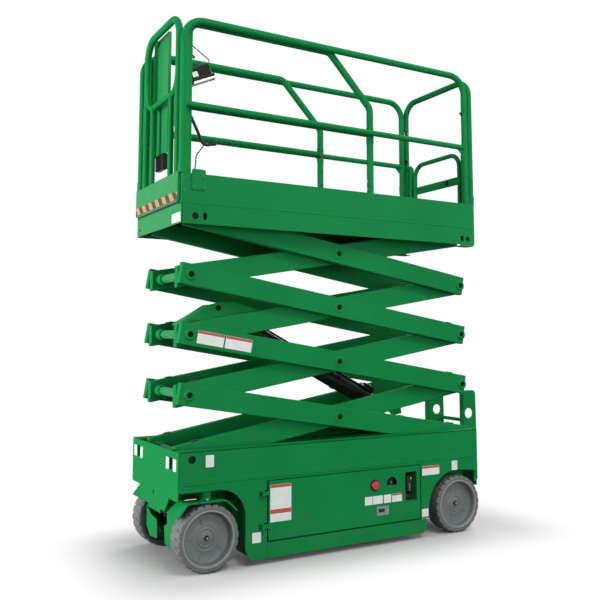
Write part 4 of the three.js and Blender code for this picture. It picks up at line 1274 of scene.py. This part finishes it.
for side, sign in SIDES:
    y, front_x, rear_x, middle = RAIL["y"], RAIL["front"], RAIL["rear"], RAIL["middle"]
    rail = Piece(f"{side}_main_rail", "platform", "green_paint", (f"main_rail_{side}",), sides=(sign,))
    rail.add([pipe([(front_x, y, FOOT), (front_x, y, RAIL["top"]), (rear_x, y, RAIL["top"]),
                    (rear_x, y, FOOT)], TUBE, 130, 24, 12),
              pipe([(front_x, y, middle), (rear_x, y, middle)], 19),
              cuff(front_x, y, FOOT, FOOT + 66), cuff(rear_x, y, FOOT, FOOT + 66),
              cuff(rear_x, y, 2500, 2560, wall=2.5),
              slab([(rear_x, middle - 84), (rear_x, middle - 12), (rear_x + 74, middle - 12)],
                   y - 3, y + 3, edge=1)])
    rail.add([bar((rear_x + 14, y, 2974), (rear_x + 40, y, 2974), 8),
              bar((rear_x + 20, y, 2946), (rear_x + 36, y, 2974), 5)], BLACK_PLASTIC)
    rail.done()

# %% [markdown]
# ## Rear frame and gate
#
# The rear frame is a tall arch. Beside the way in stand two short posts with a bent top, and the
# gate hangs on the right-hand one: a rounded loop with a flat bar across it, a spring hinge and a
# black latch.

# %% Rear frame
REAR = {"x": -1135.5, "y": 373, "top": 3240, "post": 308}
x, y, post = REAR["x"], REAR["y"], REAR["post"]
rear = Piece("rear_rail_frame", "platform", "green_paint", ("rear_frame",))
rear.add(pipe([(x, -y, FOOT), (x, -y, REAR["top"]), (x, y, REAR["top"]), (x, y, FOOT)],
              TUBE, 120, 24, 12))
rear.add([pipe([(x, post, 2150.3), (x, post, 2705), (x, y - 6, 2705)], 19, 36),
          cuff(x, y, FOOT, FOOT + 60), cuff(x, post, 2152, 2200, 19)], sides=BOTH)
for z in (3010, 2768):
    rear.add([bar((x + 8, 22 - y, z), (x + 30, 22 - y, z), 13),
              upright(x + 18, 22 - y, z - 34, z, 6)], BLACK_PLASTIC)
lanyard = [(x + 20 + 20 * math.sin(t), 30 - y, 2984 + 26 * math.cos(t))
           for t in np.linspace(0, 2 * math.pi, 24, endpoint=False)]
rear.add(swept(lanyard, circle(0, 0, 1.8, 8), closed=True), ZINC)
for z in (2330, 2420):
    rear.add(bolt((x - 22, y, z), REARWARD, 6.5), ZINC, sides=BOTH)
rear.done()

# %% Gate
half, low, top = 262, 2196, 2705
hoop = [(x, 0, low), (x, half, low), (x, half, top), (x, -half, top), (x, -half, low), (x, 0, low)]
gate = Piece("entry_gate", "gate", "green_paint", ("gate",))
gate.add([swept(bent(hoop, 100, 10)[:-1], circle(0, 0, 17, 20), closed=True),
          brick(x - 4, x + 4, -half, half, 2470, 2530, edge=3),
          brick(x - 5, x + 5, half - 4, post - 22, 2470, 2496, edge=2)])
for z in (2250, 2480, 2570):
    gate.add(brick(x - 5, x + 5, 20 - post, 4 - half, z - 13, z + 13, edge=2))
gate.add([brick(x - 13, x + 15, 108, 136, 2484, 2518, edge=4),
          upright(x + 4, -half - 26, 2478, 2512, 11)], BLACK_PAINT)
gate.add(across(x + 10, 2476, 60, 284, 4))
gate.done()

# %% [markdown]
# ## Roll-out extension
#
# The front part of the floor rolls forward on its own deck. It carries its side rails inside the
# main ones, a toe board across its front with a tan and brown hazard stripe, and a tall front
# frame. The stripe is one material: a saw wave across the board, turned to a slant.

# %% Extension floor and toe board
EXTENSION = {"rear": -300, "floor": 2132, "half": 345, "rail": 326, "tube": 23.5}
TOE = {"rear": 1137.5, "front": 1140.5, "half": 380, "low": 2127, "high": 2305}
TAN, BROWN = (0.42, 0.235, 0.085), (0.030, 0.022, 0.016)
STRIPE = 0.122  # width of a tan and a brown stripe together, in metres
HAZARD_BAND = (2138, 2186)


def hazard_stripe():
    finish = Finish("hazard_stripe", TAN, 0.5, **{"Specular IOR Level": 0.3})
    slant = finish.maths("ADD", finish.axis("Y"), finish.maths("MULTIPLY", finish.axis("Z"), 0.9))
    wave = finish.maths("FRACT", finish.maths("MULTIPLY", slant, 1 / STRIPE), 0)
    edge = finish.ramp(wave, 0.49, 0.51)
    worn = finish.ramp(finish.noise(60, 4.0), 0.62, 0.78, (0, 0.4))
    faded = finish.ramp(finish.noise(40, 4.0), 0.5, 0.8, (0, 0.35))
    tan = finish.blend(faded, TAN, (0.56, 0.38, 0.19))
    brown = finish.blend(worn, BROWN, (0.12, 0.08, 0.05))
    finish.put(finish.shader, {"Base Color": finish.blend(edge, tan, brown)})
    return finish.material


rear, half, front = EXTENSION["rear"], EXTENSION["half"], TOE["front"]
toe_board = soften(box_outline(-TOE["half"], TOE["half"], TOE["low"], TOE["high"]), 8)
deck = Piece("extension_floor", "extension", "green_paint", ("extension_deck",))
deck.add([brick(rear, front, -half, half, 2126, EXTENSION["floor"]),
          tread(rear + 8, 1100, 338, EXTENSION["floor"])], FLOOR_PLATE)
# the toe board is in the copy of the paint with painted sheen
deck.add(slab(toe_board, TOE["rear"], front, "x"), GREEN_WITH_PAINTED_SHEEN)
deck.add(brick(1122, TOE["rear"] + 1, TOE["half"] - 4, TOE["half"], TOE["low"], TOE["high"]),
         sides=BOTH)
deck.add([brick(1112, front, -365, 365, TOE["high"] - 3, TOE["high"], edge=1),
          brick(rear - 3, rear + 3, -half, half, 2124, 2136)])
deck.add(slab(box_outline(-377, 377, *HAZARD_BAND), front, front + 0.8, "x", edge=0.3),
         hazard_stripe())
deck.done()

# %% Extension side rails
FLOOR = EXTENSION["floor"] + 0.3
for side, sign in SIDES:
    y, tube_radius, front_x, rear_x = EXTENSION["rail"], EXTENSION["tube"], 1060, -275
    rail = Piece(f"{side}_extension_rail", "extension", "green_paint", (f"extension_rail_{side}",),
                 sides=(sign,))
    line = [(front_x, y, FLOOR), (front_x, y, RAIL["top"]), (53, y, RAIL["top"]),
            (rear_x, y, 2905), (rear_x, y, FLOOR)]
    rail.add([pipe(line, tube_radius, 70, 22),
              pipe([(front_x, y, RAIL["middle"]), (rear_x, y, RAIL["middle"])], 18),
              cuff(rear_x, y, 2654, 2766, tube_radius, 2),
              cuff(rear_x, y, FLOOR, FLOOR + 70, tube_radius, 2),
              cuff(front_x, y, FLOOR, FLOOR + 70, tube_radius, 2)])
    for z in (2336, 2391):
        rail.add(bolt((rear_x + tube_radius, y, z), FORWARD, 6), ZINC)
    if side == "right":
        rail.add(brick(rear_x - 25, rear_x + 25, y - 25, y + 25, 2682, 2704, edge=5), BLACK_PAINT)
    else:  # the holder of the control station
        rail.add([bar((1052, 300, 3128), (916, 300, 3041), 3.5),
                  bar((916, 300, 3043), (912, 296, 2985), 3.5),
                  slab([(1040, 3076), (1052, 3104), (1034, 3106), (988, 3064), (992, 3048)],
                       246, 252, edge=1)])
    rail.done()

# %% [markdown]
# ### Front frame, folded panel and controls
#
# The front frame is an arch like the rear one, with a bar that dips between its posts. Behind its
# right half hangs a folded sheet with a closed box under it. The control station sits in a
# tilted tray on the left rail, and its cable runs down behind the frame.

# %% Front frame
FRONT = {"x": 1107, "post": 290, "top": 3300, "bar": 2827, "inner": 167}
x, post, low_bar = FRONT["x"], FRONT["post"], FRONT["bar"]
ahead = Piece("front_rail_frame", "extension", "green_paint", ("extension_front_frame",))
high = FRONT["top"]
ahead.add([pipe([(x, -post, FLOOR), (x, -post, high), (x, post, high), (x, post, FLOOR)],
                TUBE, 125, 24, 12),
           pipe([(x, 10 - post, 3010), (x, -262, low_bar), (x, 262, low_bar), (x, post - 10, 3010)],
                18, 110, 20, 10)])
ahead.add([upright(x, FRONT["inner"], FLOOR, low_bar, 18),
           cuff(x, post, 2600, 2850, wall=2.5), cuff(x, post, FLOOR, FLOOR + 90)], sides=BOTH)
for z in (2625, 2700, 2775, 2835):
    ahead.add(bolt((x + 3, post + 24, z), ACROSS, 5.5), sides=BOTH)
ahead.done()

# %% Folded panel with its box
front, back, far, near = 1083, 1054, -236, -35  # x and y of the folds
fold = [(front, far), (front, far + 3), (back + 3, far + 3), (back + 3, near), (back - 17, near),
        (back - 17, near - 3), (back, near - 3), (back, far)]
panel = Piece("folded_panel", "extension", "green_paint", ("extension_panel",))
# the folded sheet is in the copy of the paint with painted sheen
panel.add(slab(soften(fold, 2.0), 2510, 3316, "z", edge=0.9), GREEN_WITH_PAINTED_SHEEN)
panel.add(brick(1040, 1078, -196, -52, 2408, 2512, edge=8, rounds=3), BLACK_PAINT)
for z in range(2560, 3260, 90):
    panel.add(turned([(0, 0), (6, 0), (5, 2.5), (0, 3.4)], (front - 8, far, z), (0, -1, 0), 14), ZINC)
panel.done()

# %% Control station
station = Piece("control_station", "extension", "plastic_black", ("control_box",), BLACK_PAINT)
station.matrix = (Matrix.Translation((967, 238, 2966)) @ Matrix.Rotation(math.radians(25), 4, "Y")
                  @ Matrix.Translation((-967, -238, -2955)))
station.add([brick(896, 1036, 184, 292, 2915, 2990, edge=9, rounds=3),
             brick(884, 1042, 180, 296, 2893, 2922, edge=5)])
station.add(brick(916, 1016, 200, 276, 2989, 2993), BLACK_PLASTIC)
station.add(turned([(0, 0), (13, 0), (11, 5), (9, 12), (15, 20), (13, 28), (0, 30)],
                   (985, 224, 2988), UP, 28))
station.add(turned([(0, 0), (12, 0), (12, 5), (9, 8), (0, 9)], (930, 224, 2990), UP, 28), STOP_RED)
station.label(992, 1030, 2928, 2960, 292)
station.add([brick(880, 1044, 292, 299, 2888, 2902, edge=3),
             brick(879, 886, 200, 299, 2888, 2902, edge=3)], ZINC)
station.add(brick(900, 912, 292, 297, 2876, 2890, edge=2))
station.done()

# %% [markdown]
# ### Cables
#
# Both cables are held at their two ends, so they belong to the machine and aren't free cords. The
# control cable leaves the station's underside and runs down behind the frame, with two white
# clips. The other one hangs in a bight from the middle rail; a thin lead ties it to the floor.

# %% Cables
HARNESS = [(1040, 228, 2880), (1052, 225, 2790), (1066, 212, 2740), (1072, 205, 2600),
           (1072, 205, 2132.3)]
LOOP = [(1045, 300, 2697), (985, 300, 2580), (945, 300, 2494), (868, 300, 2520)]
LEAD_DOWN = [(946, 300, 2497), (992, 300, 2430), (999, 300, 2340), (1003, 318, 2250),
             (1003, 335, 2132.3)]
harness = Piece("control_cable", "extension", "cable_black", ("harness",), HOSE)
harness.add([pipe(HARNESS, 8, 40, 16),
             solid([(15, 0), (15, 10), (11, 16), (10, 40)], (1040, 228, 2890), (0, 0, -1), 24),
             solid([(14, 0), (14, 8), (10, 12), (10, 30)], (1072, 205, 2132.5), UP, 24)])
for z in (2461, 2397):
    harness.add(brick(1062, 1084, 193, 217, z - 8, z + 8, edge=3), LABEL)
harness.done()

loop = Piece("looped_cable", "extension", "cable_black", ("cable_loop",), HOSE)
loop.add([pipe(LOOP, 9.5, 40, 16, 10), pipe(LEAD_DOWN, 3.5, 30, 10),
          solid([(14, 0), (14, 14), (10, 20), (10, 36)], (1045, 300, 2700), (0, 0, -1), 24),
          solid([(11, 0), (13, 4), (13, 26), (9, 30)], (890, 300, 2512.5), (-0.95, 0, 0.31), 24)])
loop.done()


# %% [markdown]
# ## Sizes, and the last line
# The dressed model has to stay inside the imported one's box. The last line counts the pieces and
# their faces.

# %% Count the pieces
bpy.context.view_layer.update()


print(len(made), "pieces;", sum(len(o.data.polygons) for o in made), "faces")
